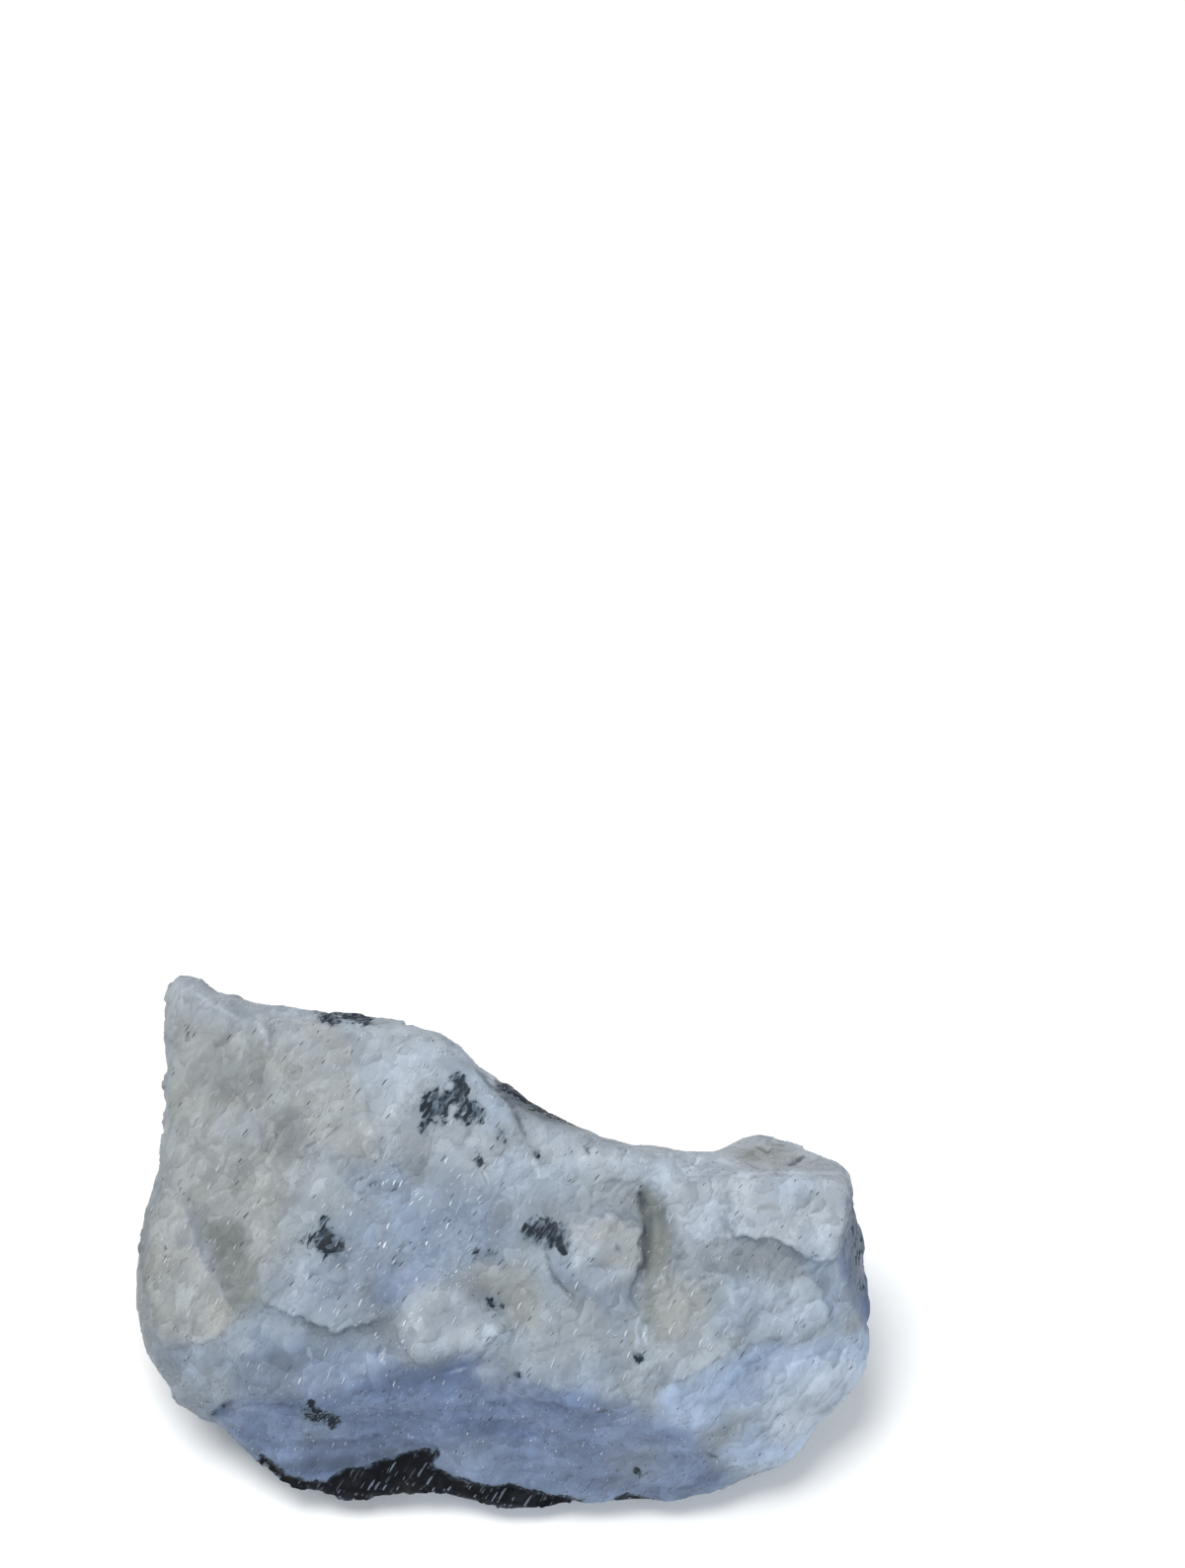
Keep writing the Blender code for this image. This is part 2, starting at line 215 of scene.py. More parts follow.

# Ledges fall away on the right-hand side of their line: (drop in mm, how far the lip and the
# foot fade, how much painted shade darkens the foot, line). The lip gets a painted highlight half
# as strong.
LEDGES = (
    (0.32, 2.6, 0.26, (
        (-20.4, 17.6), (-20, 16.7), (-19.1, 16.6), (-17.9, 16.2), (-16.6, 15.7), (-15.8, 15.3),
        (-15.2, 15.2), (-14.5, 14.6), (-13.8, 14.6), (-13.5, 15.1), (-12.3, 15.2), (-11.3, 15.4),
        (-9.6, 15.9),
    )),
    (0.24, 2.4, 0.05, (
        (-9.2, 15.6), (-8.9, 14.2), (-8.2, 12.9), (-7.2, 12.1), (-5.8, 12.2), (-3.8, 12.9), (-1.9, 13.4),
        (-0.2, 14.6),
    )),
    (0.38, 2.4, 0.10, (
        (1.9, 31), (1.3, 32.4), (0.8, 33.4), (0.4, 34.1), (-0.5, 34.9), (-1.3, 35.7), (-2.6, 37),
    )),
    (0.16, 1.6, 0.10, ((11.9, 14), (11.6, 14.9), (11.2, 16), (10.7, 17.4), (10.7, 18.9), (10.9, 19.6))),
    (0.32, 1.8, 0.30, (
        (10.6, 18.6), (10.9, 19.6), (11.4, 20.5), (11.5, 21.4), (11.2, 22.2), (11.2, 22.8), (11.7, 23.3),
        (11.8, 23.7), (11.3, 24),
    )),
    (0.26, 1.4, 0.22, ((11.4, 24), (10.5, 24.1), (9.8, 24.2), (9.1, 24.5), (7.4, 24.4), (5.9, 23.6))),
    (0.22, 1.8, 0.15, ((7.6, 27.4), (9.4, 27.6), (10.4, 27.3), (11.3, 27.6), (11.6, 26.5))),
    (0.20, 1.8, 0.22, ((19.5, 17.9), (19.4, 19.2), (18.8, 19.7), (17.8, 19.5), (16.4, 19.2), (14.8, 18.9))),
    (0.24, 1.8, 0.25, (
        (26.6, 14.7), (27.4, 15.8), (27.5, 16.7), (26.8, 17.3), (26.8, 18.1), (25.8, 19), (24.6, 19.6),
    )),
    (0.20, 1.8, 0.12, ((13.7, 10), (16, 11.2), (18.8, 13), (21.5, 13.9), (23.6, 14))),
    (0.22, 1.6, 0.14, ((28.6, 13.2), (26, 12.6), (23.6, 11.9), (22.4, 9.9), (21, 8.6), (19.4, 8))),
    (0.18, 1.5, 0.18, ((-2, 8.8), (1, 9), (3.2, 8.8), (5.6, 8.3), (8.4, 8.6), (9.2, 9.4))),
    (0.22, 1.6, 0.22, ((-24.9, 7.7), (-23.8, 8.6), (-22.6, 9), (-20.4, 8.6), (-17.6, 8.8))),
    (0.18, 1.4, 0.15, ((4.2, 5.5), (2.2, 5.7), (-0.1, 6.2), (-3, 5.4), (-4.4, 4.8))),
    (0.16, 1.2, 0.12, ((-8, 8.6), (-9.4, 9.4), (-11.2, 9), (-13, 9.4))),
    (0.16, 1.4, 0.10, ((13.2, 12.4), (10.8, 11.6), (8.8, 10.8), (6.8, 10.6))),
    (0.14, 1.6, 0.10, ((-18.1, 34.3), (-18.8, 36.1), (-19.9, 38.2), (-20.5, 39.6), (-20.8, 41.5))),
    (0.14, 1.4, 0.08, ((17.3, 30), (18.9, 28.9), (20.6, 27.7))),
    (0.10, 1.2, 0.08, ((-20.6, 21.4), (-20.8, 19.4), (-20.4, 17.6))),
    (0.12, 1.6, 0.08, ((-10.6, 29), (-11.5, 33.4), (-12.6, 37.2), (-13.6, 40.6))),
    (0.12, 1.2, 0.10, ((9.6, 28.7), (12.4, 28.9), (12.6, 29.6), (20, 28.9))),
    (0.12, 1.0, 0.12, ((22.4, 29.4), (23.4, 28.8), (25.8, 29.2), (27.6, 28.4))),
    (0.24, 1.4, 0.22, (
        (18.9, 23.9), (19.2, 23.3), (19.5, 22.8), (20.9, 22.7), (22.3, 22.6), (22.9, 22.4), (23.8, 21.9),
        (24.6, 21.4), (25.5, 21.1), (26.5, 20.9), (27.4, 20.9), (28.2, 21.1),
    )),
    (0.20, 1.0, 0.25, ((28.2, 20.9), (28.6, 22.4), (28.9, 24.6), (29.1, 26.6))),
    (0.12, 0.9, 0.15, ((7, 24.6), (7.8, 25.6), (8.8, 26), (9.6, 26.9), (10.6, 27.2))),
    (0.12, 0.9, 0.12, ((13.4, 17.2), (14, 18.4), (14.9, 19.1), (18.5, 19.7))),
    (0.10, 0.9, 0.10, ((16.2, 22.4), (17, 23.6), (18.4, 24.4), (18.6, 26))),
    (0.12, 1.0, 0.12, ((-6.6, 29.6), (-3.6, 30.4), (-1, 30), (1.4, 28.6))),
    (0.12, 1.0, 0.12, ((-25.4, 36.4), (-22.4, 35), (-21, 32.4), (-19.4, 30.6))),
    (0.12, 1.0, 0.10, ((-26.6, 31), (-23.6, 29.4), (-20, 28.8), (-17.6, 26.6))),
    (0.14, 1.0, 0.12, ((-12, 7.8), (-8, 8), (-5, 7), (-1, 7.4), (3, 7))),
    (0.14, 1.0, 0.12, ((-17.6, 5.6), (-13, 5.8), (-9.4, 6), (-5.8, 5))),
    (0.12, 1.0, 0.10, ((5.4, 5), (9.4, 5.2), (13, 4.4), (16.4, 4.8))),
)

# Broad swells of the surface: (height in mm, reach in mm, line).
SWELLS = (
    (0.18, 3.0, ((-28.6, 35), (-28.7, 38), (-28.4, 40.6))),
    (0.35, 1.6, ((-27.4, 44.8), (-26.6, 44.4))),
    (0.28, 1.8, ((-19, 2.8), (-16.6, 1.6), (-14.6, 1))),
    (0.20, 2.0, ((-6, 39.6), (-3.6, 37.8))),
    (0.20, 2.0, ((1, 34.2), (4, 32.6))),
)

# Cracks and slots: (depth, half width, line).
CRACKS = (
    (0.30, 0.16, (
        (3.5, 22.1), (3.6, 21.4), (3.7, 20.4), (4, 19.6), (4.4, 18.9), (5.1, 18.2), (5.7, 17.7),
        (5.9, 17.2),
    )),
    (0.34, 0.16, ((-1.4, 35.2), (-0.3, 34.4), (0.5, 33.5), (1, 32.4), (1.7, 31.1))),
    (0.45, 0.24, VALLEY_SLOT),
    (0.25, 0.14, SADDLE_NICK),
    (0.35, 0.25, ((23.9, 28.6), (24.4, 29), (25.2, 29.3))),
    (0.30, 0.20, FOOT_NICK),
    (0.30, 0.22, ((-24.9, 7.5), (-24, 8.3), (-23, 8.8))),
)

# Broken grain, from broad breaks to small chips: (length, width in mm, lean in degrees, step
# height in mm, extra height on the far side, how much the shade changes, seed).
GRAINS = (
    (8.5, 6.0, 10, 0.06, 0.45, 0.04, (1.7, 6.1, 3.2)),
    (4.2, 2.8, -25, 0.11, 0.10, 0.05, (0.7, 4.1, 2.2)),
    (2.0, 1.3, 5, 0.050, 0.03, 0.04, (5.3, 1.8, 7.4)),
    (1.1, 0.7, 12, 0.020, 0.01, 0.03, (2.9, 8.8, 0.6)),
)

# Centres the random numbers of a cell on 0.
HALF = Vector((0.5, 0.5, 0.5))

# How drawn edges are made ragged, and how the grain is bent: size in mm, amount, and seed.
JAG = (0.8, 0.5, Vector((2, 7, 3)))
BEND = (1.6, 0.5)

# How far the dark mineral along the front edge is set back, in mm.
DARK_SETBACK = 0.35

# Relief fades in between these two heights over the floor. Faces under the flat spot's height
# that look down are laid on the floor.
CLEAR_OF_FLOOR = (0.1 * MM, 0.9 * MM)
FLAT_SPOT = 0.25 * MM


def waver(points, size, amount, seed):
    """Smooth random shifts, which keep lines and edges from looking drawn."""
    return np.array([
        noise.noise(Vector(point) / (size * MM) + seed) * amount for point in points
    ])


def wall_layers(points):
    """Long thin layers, which run nearly level along the stone."""
    flat = points * np.array((0.28, 1.0, 1.0))
    return waver(flat, 2.0, 1.5, Vector((3, 3, 1))) + waver(flat, 0.9, 0.8, Vector((1, 6, 2)))


def grain_faces(points, length, width, lean, seed):
    """Height and shade of the broken face of a grain at each point, tilted and lifted at random."""
    turn = (GRAIN_FRAME @ Matrix.Rotation(math.radians(lean), 3, "Z")).transposed()
    faces = []
    for point in points:
        local = turn @ Vector(point)
        place = Vector((local.x / length, local.y / width, local.z / width)) + Vector(seed)
        centre = noise.voronoi(place)[1][0]
        tilt = noise.cell_vector(centre * 7.3) - HALF
        lift, shade, _ = noise.cell_vector(centre * 5.1) - HALF
        faces.append((1.4 * tilt.dot(place - centre) + lift, 2 * shade))
    return np.array(faces).T


def relief(points, sight):
    """Height in mm of the plates, swells, ledges, cracks and layers at each point."""
    jag = waver(points, *JAG)
    rise = np.full(len(points), SMOOTHING_LOSS)
    for height, outline in PLATES:
        rise += height * ramp(-0.16, 0.1, sight.inside(outline) + jag) * sight.near
    for height, reach, line in SWELLS:
        distance, _, _ = sight.to_line(line)
        rise += height * np.exp(-((distance / reach) ** 2))
    for drop, fade, _, line in LEDGES:
        distance, side, to_end = sight.to_line(line)
        fall = np.clip(1 - distance / fade, 0, 1) ** 1.5
        step = 2 * ramp(-0.14, 0.14, side * distance + jag) - 1
        rise += 0.5 * drop * step * fall * ramp(0, 0.8, to_end) * sight.near
    for depth, width, line in CRACKS:
        distance, _, to_end = sight.to_line(line)
        rise -= depth * np.exp(-((distance / width) ** 2)) * ramp(-0.1, 0.5, to_end) * sight.near
    _, height, softness, outline = LAYERS
    rise += height * wall_layers(points) * ramp(-softness, softness, sight.inside(outline)) * sight.near
    inner = sight.inside(DARK_EDGES[0])
    rise -= DARK_SETBACK * ramp(-0.1, 0.25, inner) * (1 - ramp(0.4, 1.6, inner)) * sight.near
    return rise


def add_grain(points, near, rise):
    """Adds the broken grain to the height of each point, and gives its change of shade."""
    bend = np.stack([waver(points, *BEND, Vector((6, 3, axis))) for axis in range(3)], axis=1)
    shade = np.zeros(len(points))
    for length, width, lean, height, far_height, contrast, seed in GRAINS:
        face, face_shade = grain_faces(points / MM + bend, length, width, lean, seed)
        rise += face * (height + far_height * (1 - near))
        shade += contrast * face_shade
    return shade


def carve(piece):
    """Cuts the relief and the broken grain into the fine copy, and gives its grains' shades."""
    mesh = piece.data
    points, normals = read_points_and_normals(mesh)
    sight = Sight(points, normals)
    rise = relief(points, sight)
    shade = add_grain(points, sight.near, rise)
    standing = ramp(*CLEAR_OF_FLOOR, points[:, 2])
    points += normals * (rise * standing * MM)[:, None]
    low, high = (np.array(corner) for corner in cad_box)
    points = np.clip(points, low, high)
    underside = (points[:, 2] < FLAT_SPOT) & (normals[:, 2] < -0.6)
    points[underside, 2] = 0
    write_points(mesh, points)
    return shade


# Colour, as the share of light each tint gives back.
TINTS = {
    "grey": (0.240, 0.274, 0.312),
    "ash": (0.222, 0.240, 0.244),
    "milk": (0.355, 0.395, 0.450),
    "frost": (0.470, 0.520, 0.590),
    "cool": (0.165, 0.212, 0.290),
    "sky": (0.330, 0.415, 0.555),
    "dusk": (0.140, 0.185, 0.285),
    "slate": (0.085, 0.122, 0.215),
    "moss": (0.150, 0.165, 0.160),
    "bone": (0.290, 0.303, 0.300),
    "lead": (0.045, 0.055, 0.068),
}

# Clouds of tint, painted in this order: (tint, strength, softness in mm, outline). Some of them, as
# noted, are painted shade.
CLOUDS = (
    ("ash", 0.75, 2.2, (
        (-27.5, 44.5), (-22, 42.6), (-20.2, 40.8), (-19.8, 38.4), (-18.6, 35.2), (-17.4, 31.6), (-16.6, 26),
        (-19, 21), (-23, 18.6), (-27, 26), (-28.4, 34), (-28.4, 41),
    )),
    ("grey", 0.7, 1.6, ((-27.6, 44.6), (-22, 42.4), (-20.6, 40.6), (-24, 39.8), (-27.2, 41.8))),
    ("milk", 0.35, 2.2, (
        (-19.4, 41.2), (-13, 40.6), (-8, 39.6), (-4, 37.4), (-3, 35), (-8, 35.6), (-13, 36.4), (-17.4, 36),
    )),
    ("moss", 0.3, 1.8, ((-15.8, 41), (-11.4, 40.8), (-11.8, 39.2), (-15.2, 39))),
    ("ash", 0.4, 2.2, ((-15.4, 33.6), (-9, 33), (-8.6, 28), (-12.6, 24.6), (-16.4, 24))),
    ("cool", 0.75, 2.6, (
        (-20, 18.6), (-15.8, 21.2), (-13.4, 25.4), (-9, 28.4), (-4.6, 27.2), (-0.4, 26.4), (1.4, 23),
        (-0.2, 19.4), (-4, 19.6), (-8.4, 18.6), (-10.2, 16.4), (-14, 15.4),
    )),
    ("dusk", 0.5, 1.6, ((-10.4, 20.6), (-7.8, 20.4), (-6.6, 19.2), (-9.2, 16.4), (-10.8, 16.6))),
    ("bone", 0.8, 0.8, PALE_PLATE),
    # Painted shade in the crease along the pale plate's right edge.
    ("ash", 0.7, 0.8, (
        (-27.6, 27.6), (-26.2, 24.6), (-24.9, 21.6), (-23.8, 18.4), (-22.4, 16.2), (-21.6, 18),
        (-22.8, 21.6), (-24, 25.2), (-26, 28.4),
    )),
    ("cool", 0.45, 1.6, (
        (-29, 13.2), (-24, 13.2), (-20.4, 15.4), (-15, 14), (-10.4, 14.2), (-12, 11.4), (-20, 11),
        (-27.4, 11.4),
    )),
    # This dusk cloud is painted shade on the low front wall, which stands steeply below the top: darker and
    # bluer than the top. The slate and cool clouds over the wall after it lay darker and lighter patches in
    # that shade.
    ("dusk", 0.9, 2.0, (
        (-24.6, 8.4), (-20.6, 9.4), (-16.6, 10), (-12.6, 11), (-9.6, 12.2), (-6, 11.4), (-3, 12.6),
        (0, 10.8), (4, 9.4), (9.4, 8.8), (12.4, 7.6), (15.6, 6.2), (17.8, 4.2), (19.4, 1.8), (16, -2),
        (-2, -3), (-16, -2), (-26, 3),
    )),
    ("milk", 0.25, 0.9, ((-17, 12.2), (-13.4, 12), (-12.4, 10.6), (-14.6, 9.9), (-16.8, 10.6))),
    ("slate", 0.75, 1.2, ((-19, 9), (-13.6, 9.2), (-12, 6.8), (-15, 6.4), (-19, 7.4))),
    ("slate", 0.8, 1.3, (
        (-12.4, 10.6), (-8.4, 11.6), (-4.2, 12.6), (-2.2, 11.8), (-5, 10.2), (-8, 8.8), (-11.8, 8.6),
    )),
    # This cloud and the next are painted shade above the black edge, where the wall tucks under.
    ("slate", 0.6, 1.0, ((-16.6, 4.2), (-12, 4.9), (-8.6, 4.6), (-9.2, 3.4), (-14.8, 3))),
    ("slate", 0.6, 0.8, ((-19.6, 3.6), (-14.5, 3.4), (-13.8, 2.2), (-18.6, 2))),
    ("slate", 0.55, 1.0, ((-4.8, 8.4), (-0.4, 7.4), (4.4, 6.6), (8, 6.4), (7.2, 5.2), (1.2, 5.1), (-4, 6))),
    ("slate", 0.65, 0.5, ((2.4, 9.5), (5.6, 9.8), (8, 8.8), (5.2, 8.3), (3, 8.4))),
    ("slate", 0.7, 0.5, ((6.5, 7.9), (8.6, 8.1), (9, 7.4), (7, 6.9))),
    ("slate", 0.6, 0.6, ((13.5, 6.9), (15.6, 6.5), (15.6, 5.6), (13.7, 5.6))),
    ("cool", 0.5, 0.9, ((-9.6, 8.2), (-6.6, 8.4), (-5, 7.4), (-5.4, 5.8), (-9, 5.6))),
    ("cool", 0.6, 0.9, ((-7.6, 3.6), (-3.6, 5.6), (0.6, 5.9), (0.8, 3.4), (-3, 2.4))),
    ("cool", 0.35, 1.0, ((-18.6, 5.2), (-15.6, 5), (-15.2, 3.6), (-18, 3.4))),
    ("ash", 0.45, 1.0, ((-17.2, 7.2), (-13.4, 6.8), (-13, 5.5), (-16.8, 5.3))),
    ("ash", 0.30, 1.4, ((9.2, 4.8), (14, 4.4), (14.6, 2.2), (9.4, 1.8))),
    ("milk", 0.45, 0.6, ((-2.6, 11.4), (-1.4, 12), (0.6, 10.4), (0.8, 9.2), (-1, 9.2))),
    ("milk", 0.55, 0.9, (
        (-8.9, 15.2), (-8.2, 17), (-7.7, 18.1), (-5.8, 19), (-3.9, 18.5), (-1.9, 16.6), (-0.1, 14.9),
        (-0.4, 14.4), (-1.9, 13.4), (-3.8, 12.9), (-5.8, 12.1), (-7.7, 11.9), (-8.9, 12.9), (-9.3, 14.2),
    )),
    ("bone", 0.20, 1.2, ((-8.6, 14.6), (-7, 17.6), (-4.6, 18), (-5.4, 14.6), (-7.6, 12.8))),
    ("ash", 0.5, 1.4, ((-3.4, 19.4), (0.4, 21.4), (2.8, 18.6), (3, 15.4), (-0.4, 15.8), (-2, 17.6))),
    ("milk", 0.5, 2.2, (
        (1.6, 31.8), (7.4, 30.6), (13, 29.6), (18, 29.6), (18.8, 26.4), (17.4, 22.8), (13.8, 24.8),
        (12.6, 27.8), (7.6, 28.2), (4, 28.6),
    )),
    ("grey", 0.4, 1.8, ((1.4, 28), (6.6, 27.8), (6.6, 24.2), (4, 22), (0.8, 24.4))),
    ("ash", 0.5, 1.0, ((7.2, 27.2), (9.4, 27.8), (11.4, 27.6), (11.4, 24.4), (7.4, 24.6))),
    ("bone", 0.55, 1.0, (
        (5.8, 23.4), (8.6, 24.4), (11.4, 23.8), (11.2, 21.2), (10.6, 19.4), (10.2, 16), (8.4, 18),
        (6.4, 19.6),
    )),
    ("dusk", 0.35, 0.7, ((4, 21), (5.6, 20.6), (6, 18.8), (5.2, 18.4), (4.4, 19.4))),
    ("bone", 0.55, 1.8, ((13.2, 20), (16.8, 18.8), (17.4, 14.6), (14, 13), (12.2, 15.2))),
    # Painted shade in the valley.
    ("moss", 0.85, 1.0, (
        (11.9, 26.6), (13.2, 25.2), (13.8, 22.6), (13.2, 19.4), (11.6, 18.8), (11.4, 20.6), (11.8, 23),
        (12, 24.6),
    )),
    ("milk", 0.45, 1.6, ((14.2, 27.8), (18.6, 27.8), (18.6, 22.8), (16, 21.6), (14.2, 23.8))),
    ("ash", 0.4, 1.4, ((14.6, 21.2), (18.6, 21.8), (22.4, 21.4), (26.4, 20), (24, 18.6), (17.4, 19.8))),
    ("milk", 0.6, 0.5, PALE_CAP),
    ("sky", 0.45, 1.6, ((18.6, 18.4), (25, 18.8), (27, 17), (26.4, 15), (21, 14.4), (18, 15.6))),
    ("sky", 0.8, 1.2, (
        (12.8, 9), (15.8, 10.4), (19, 12.4), (22, 13.9), (23.6, 13.1), (22.6, 11.4), (20.6, 9.2),
        (17.6, 6.4), (14.8, 6.8), (13.4, 7.8),
    )),
    # Painted shade in the hollow above the lower-right lobe.
    ("cool", 0.6, 1.0, ((17, 8.8), (19.4, 11), (22.6, 13.2), (22.6, 11.8), (20.2, 9.6), (18, 8))),
    ("sky", 0.6, 1.0, (
        (19.6, 8.4), (21.6, 9.8), (23.4, 12.4), (27.6, 13.6), (30.2, 13.2), (29, 11), (24, 10.4),
        (21.2, 8.2),
    )),
    ("grey", 0.5, 1.4, (
        (20.4, 7.4), (23.6, 10.2), (27.6, 10.4), (26, 7), (24.4, 4.6), (20.4, 4.4), (18.8, 5.4),
    )),
    ("ash", 0.65, 0.7, ((17.6, 29.8), (21.4, 31.2), (28.2, 29), (28.8, 28.2), (20.8, 28.2), (18.4, 29.2))),
    # This cloud and the next are painted shade on the steep right end face, darker and bluer than the top.
    ("dusk", 0.75, 0.5, (
        (29.2, 26), (28.6, 22.6), (28.3, 20.9), (29.4, 18.6), (29.6, 16.4), (31.4, 14.2), (31.6, 20),
        (30.6, 25.6),
    )),
    ("slate", 0.6, 0.4, ((29.5, 25.6), (29, 23), (29.2, 19.8), (30.2, 16.8), (31.4, 16), (31, 22))),
    # Painted shadow in the notch at the lower left.
    ("slate", 0.8, 0.4, ((-24.9, 7.5), (-23.7, 8.6), (-22.8, 8.9), (-23.3, 7.6))),
    # Second coat, over the first.
    ("milk", 0.7, 1.2, ((-28.4, 45), (-26, 44.4), (-23.6, 42.4), (-24.4, 41), (-27.6, 41.6))),
    ("milk", 0.5, 1.2, (
        (-21.4, 42.2), (-15.4, 41.4), (-9, 41), (-5.4, 39.6), (-3, 37.8), (-6, 38.4), (-11, 39.4),
        (-17.6, 40), (-19.6, 38.4),
    )),
    ("ash", 0.5, 1.6, ((-18, 37.6), (-14.6, 36), (-13, 32.4), (-14.6, 29), (-17.6, 32))),
    ("ash", 0.4, 2.0, ((-27.6, 32.4), (-22.4, 31), (-22.8, 26), (-27.6, 27))),
    # Painted shade in the crease along the pale plate's right edge.
    ("dusk", 0.45, 1.0, ((-27, 22.4), (-23.6, 22.6), (-21, 19.4), (-21.6, 17), (-24, 19))),
    ("milk", 0.55, 1.0, ((1.4, 32.4), (4.6, 32), (5.4, 30.4), (3.4, 29.2), (1.6, 30))),
    ("sky", 0.35, 1.4, ((-7.4, 38.4), (-2.4, 37.6), (0.4, 34), (-1, 31.6), (-2.6, 34.6), (-6.8, 36.4))),
    ("sky", 0.30, 1.6, ((-1, 28.6), (4.6, 29), (5, 25.4), (0.2, 25))),
    ("milk", 0.5, 0.9, ((14, 29.8), (19.4, 29.6), (20.4, 28), (14.4, 27.6))),
    ("milk", 0.5, 0.7, ((26.8, 28.6), (29, 28.8), (30, 26.6), (29.2, 25.6), (27.2, 26.6))),
    ("dusk", 0.30, 0.8, ((-9.6, 20.6), (-7, 20.4), (-6.2, 18.8), (-8, 17.2), (-9.4, 17.4))),
    ("grey", 0.6, 0.8, ((-11, 16.6), (-9.4, 16.8), (-8.8, 14.8), (-9.6, 13.8), (-11.2, 14.8))),
    # This cloud and the next are painted shade on the low front wall.
    ("dusk", 0.5, 1.2, ((-19.6, 12), (-14, 12.4), (-11, 10.6), (-13.6, 9.2), (-19.4, 9.6))),
    ("dusk", 0.5, 1.4, ((-22, 8), (-17.6, 8.8), (-15.6, 5.8), (-17.6, 3.4), (-21, 4.6))),
    # Painted shade in the valley.
    ("moss", 0.6, 1.2, ((10.8, 26.4), (13.6, 26.6), (14.2, 20), (13.2, 14), (11.4, 13.8), (11.8, 19))),
    ("ash", 0.4, 1.0, ((9.6, 21.8), (11.2, 22.4), (11.2, 19.8), (9.8, 19.4))),
    ("milk", 0.4, 1.2, ((17.8, 18.4), (22.4, 18.8), (25.6, 17.4), (23.4, 15.4), (18.4, 16))),
    # Painted shade in the hollow above the lower-right lobe.
    ("dusk", 0.35, 1.0, ((20, 11.6), (22.6, 13.6), (24, 12.2), (21.6, 8.8), (19.4, 8.6))),
    ("sky", 0.85, 1.2, (
        (23, 10.6), (25.8, 13.6), (30.6, 14.4), (31.4, 12), (30, 8.8), (27.2, 5.6), (24, 3.4), (20.2, 3),
        (18.6, 4.4), (21, 7.6),
    )),
    ("milk", 0.5, 1.0, ((24.4, 9.6), (28.4, 11.8), (29.6, 9.8), (26.8, 6.4), (24.4, 6))),
    ("ash", 0.35, 1.4, ((19.8, 6.6), (22.4, 9.2), (24.6, 8.6), (24.2, 5.2), (20.6, 4.6))),
    ("sky", 0.35, 1.0, ((24.8, 20.6), (28.6, 20), (30.4, 17), (27.8, 14.8), (26.6, 18.4))),
    ("cool", 0.35, 1.2, ((6.2, 21.6), (9.4, 21.8), (9.6, 18.8), (6.8, 18.4))),
    ("bone", 0.45, 0.5, (
        (-21.4, 41.8), (-14, 41), (-12.8, 37.5), (-11.6, 33.6), (-10.8, 29.6), (-13.5, 29.4), (-16.6, 31.4),
        (-18.8, 35), (-20.4, 38.4),
    )),
    ("bone", 0.35, 1.6, (
        (-29, 44), (-22, 41.6), (-18.8, 35), (-17, 28), (-20.6, 20), (-22, 15.6), (-28, 13.4), (-32, 17),
        (-30.4, 26), (-29.4, 36),
    )),
    ("milk", 0.35, 0.6, (
        (-13.6, 41.4), (-8, 40.4), (-5, 38.8), (-7, 35.6), (-10, 31), (-11.4, 33.6), (-12.6, 37.4),
    )),
    ("moss", 0.35, 1.2, ((-30.2, 13.6), (-31.6, 17), (-31.2, 24), (-29.8, 27), (-29.9, 18))),
    ("cool", 0.5, 1.2, ((-21, 14.4), (-14, 13.8), (-8.6, 13.6), (-9.6, 11.4), (-16, 10.6), (-21.6, 11.6))),
    # Painted shade along the low front wall.
    ("dusk", 0.4, 1.4, ((-12.6, 10.4), (-4, 11.4), (4, 9.4), (10, 8.8), (10, 4.6), (-4, 5.4), (-13, 7.4))),
    # Third coat, over both.
    ("ash", 0.75, 0.9, (
        (-3.2, 18.6), (-1.8, 20.6), (0.8, 20.4), (3.2, 18.6), (3.2, 15.2), (0.2, 15), (-1.6, 16.8),
    )),
    ("dusk", 0.3, 0.8, ((-2.4, 18), (-0.6, 18.6), (-0.2, 16.2), (-1.2, 15.6))),
    ("dusk", 0.4, 1.2, ((7.8, 22.2), (10.8, 21.6), (10.8, 17.6), (8.6, 15.2), (6.4, 17.6))),
    ("ash", 0.4, 0.8, ((9.6, 22.6), (11.6, 22.8), (11, 18.6), (9.4, 18.6))),
    # Painted shade in the valley's core.
    ("moss", 0.75, 0.5, (
        (11.5, 27.6), (12.4, 26.2), (13.2, 24.4), (13.4, 21.8), (12.8, 20), (11.5, 19.6), (11, 20.4),
        (11.6, 21.6), (11.4, 22.6), (12, 23.6), (11.6, 25),
    )),
    ("ash", 0.5, 0.6, ((10.8, 19), (12.6, 19.4), (12.6, 16.6), (12, 14.4), (11.2, 16.4))),
    # The clouds from here to the cool one are painted shade on the steep right end face, with darker and
    # lighter patches.
    ("slate", 0.42, 0.30, (
        (29.1, 26.8), (28.9, 24.6), (28.6, 22.4), (28.2, 20.9), (28.5, 19.4), (29.2, 17.4), (30.8, 14.6),
        (32, 15), (32, 22), (30.6, 27),
    )),
    ("slate", 0.52, 0.8, (
        (29.2, 26.4), (29, 22.6), (28.8, 20.4), (29.6, 17.6), (31.2, 15), (32, 20), (31, 26.4),
    )),
    ("moss", 0.30, 1.0, ((29.4, 27), (29.4, 21.6), (30.4, 18.4), (32, 19), (32, 26))),
    ("lead", 0.30, 0.8, ((28.6, 22.4), (29.6, 24.8), (30.2, 22), (30, 19.6), (28.8, 19.4))),
    ("cool", 0.6, 0.3, ((30, 23.6), (30.8, 23.4), (31.4, 19.4), (30.4, 18.8), (30.2, 21))),
    ("milk", 0.25, 0.5, (
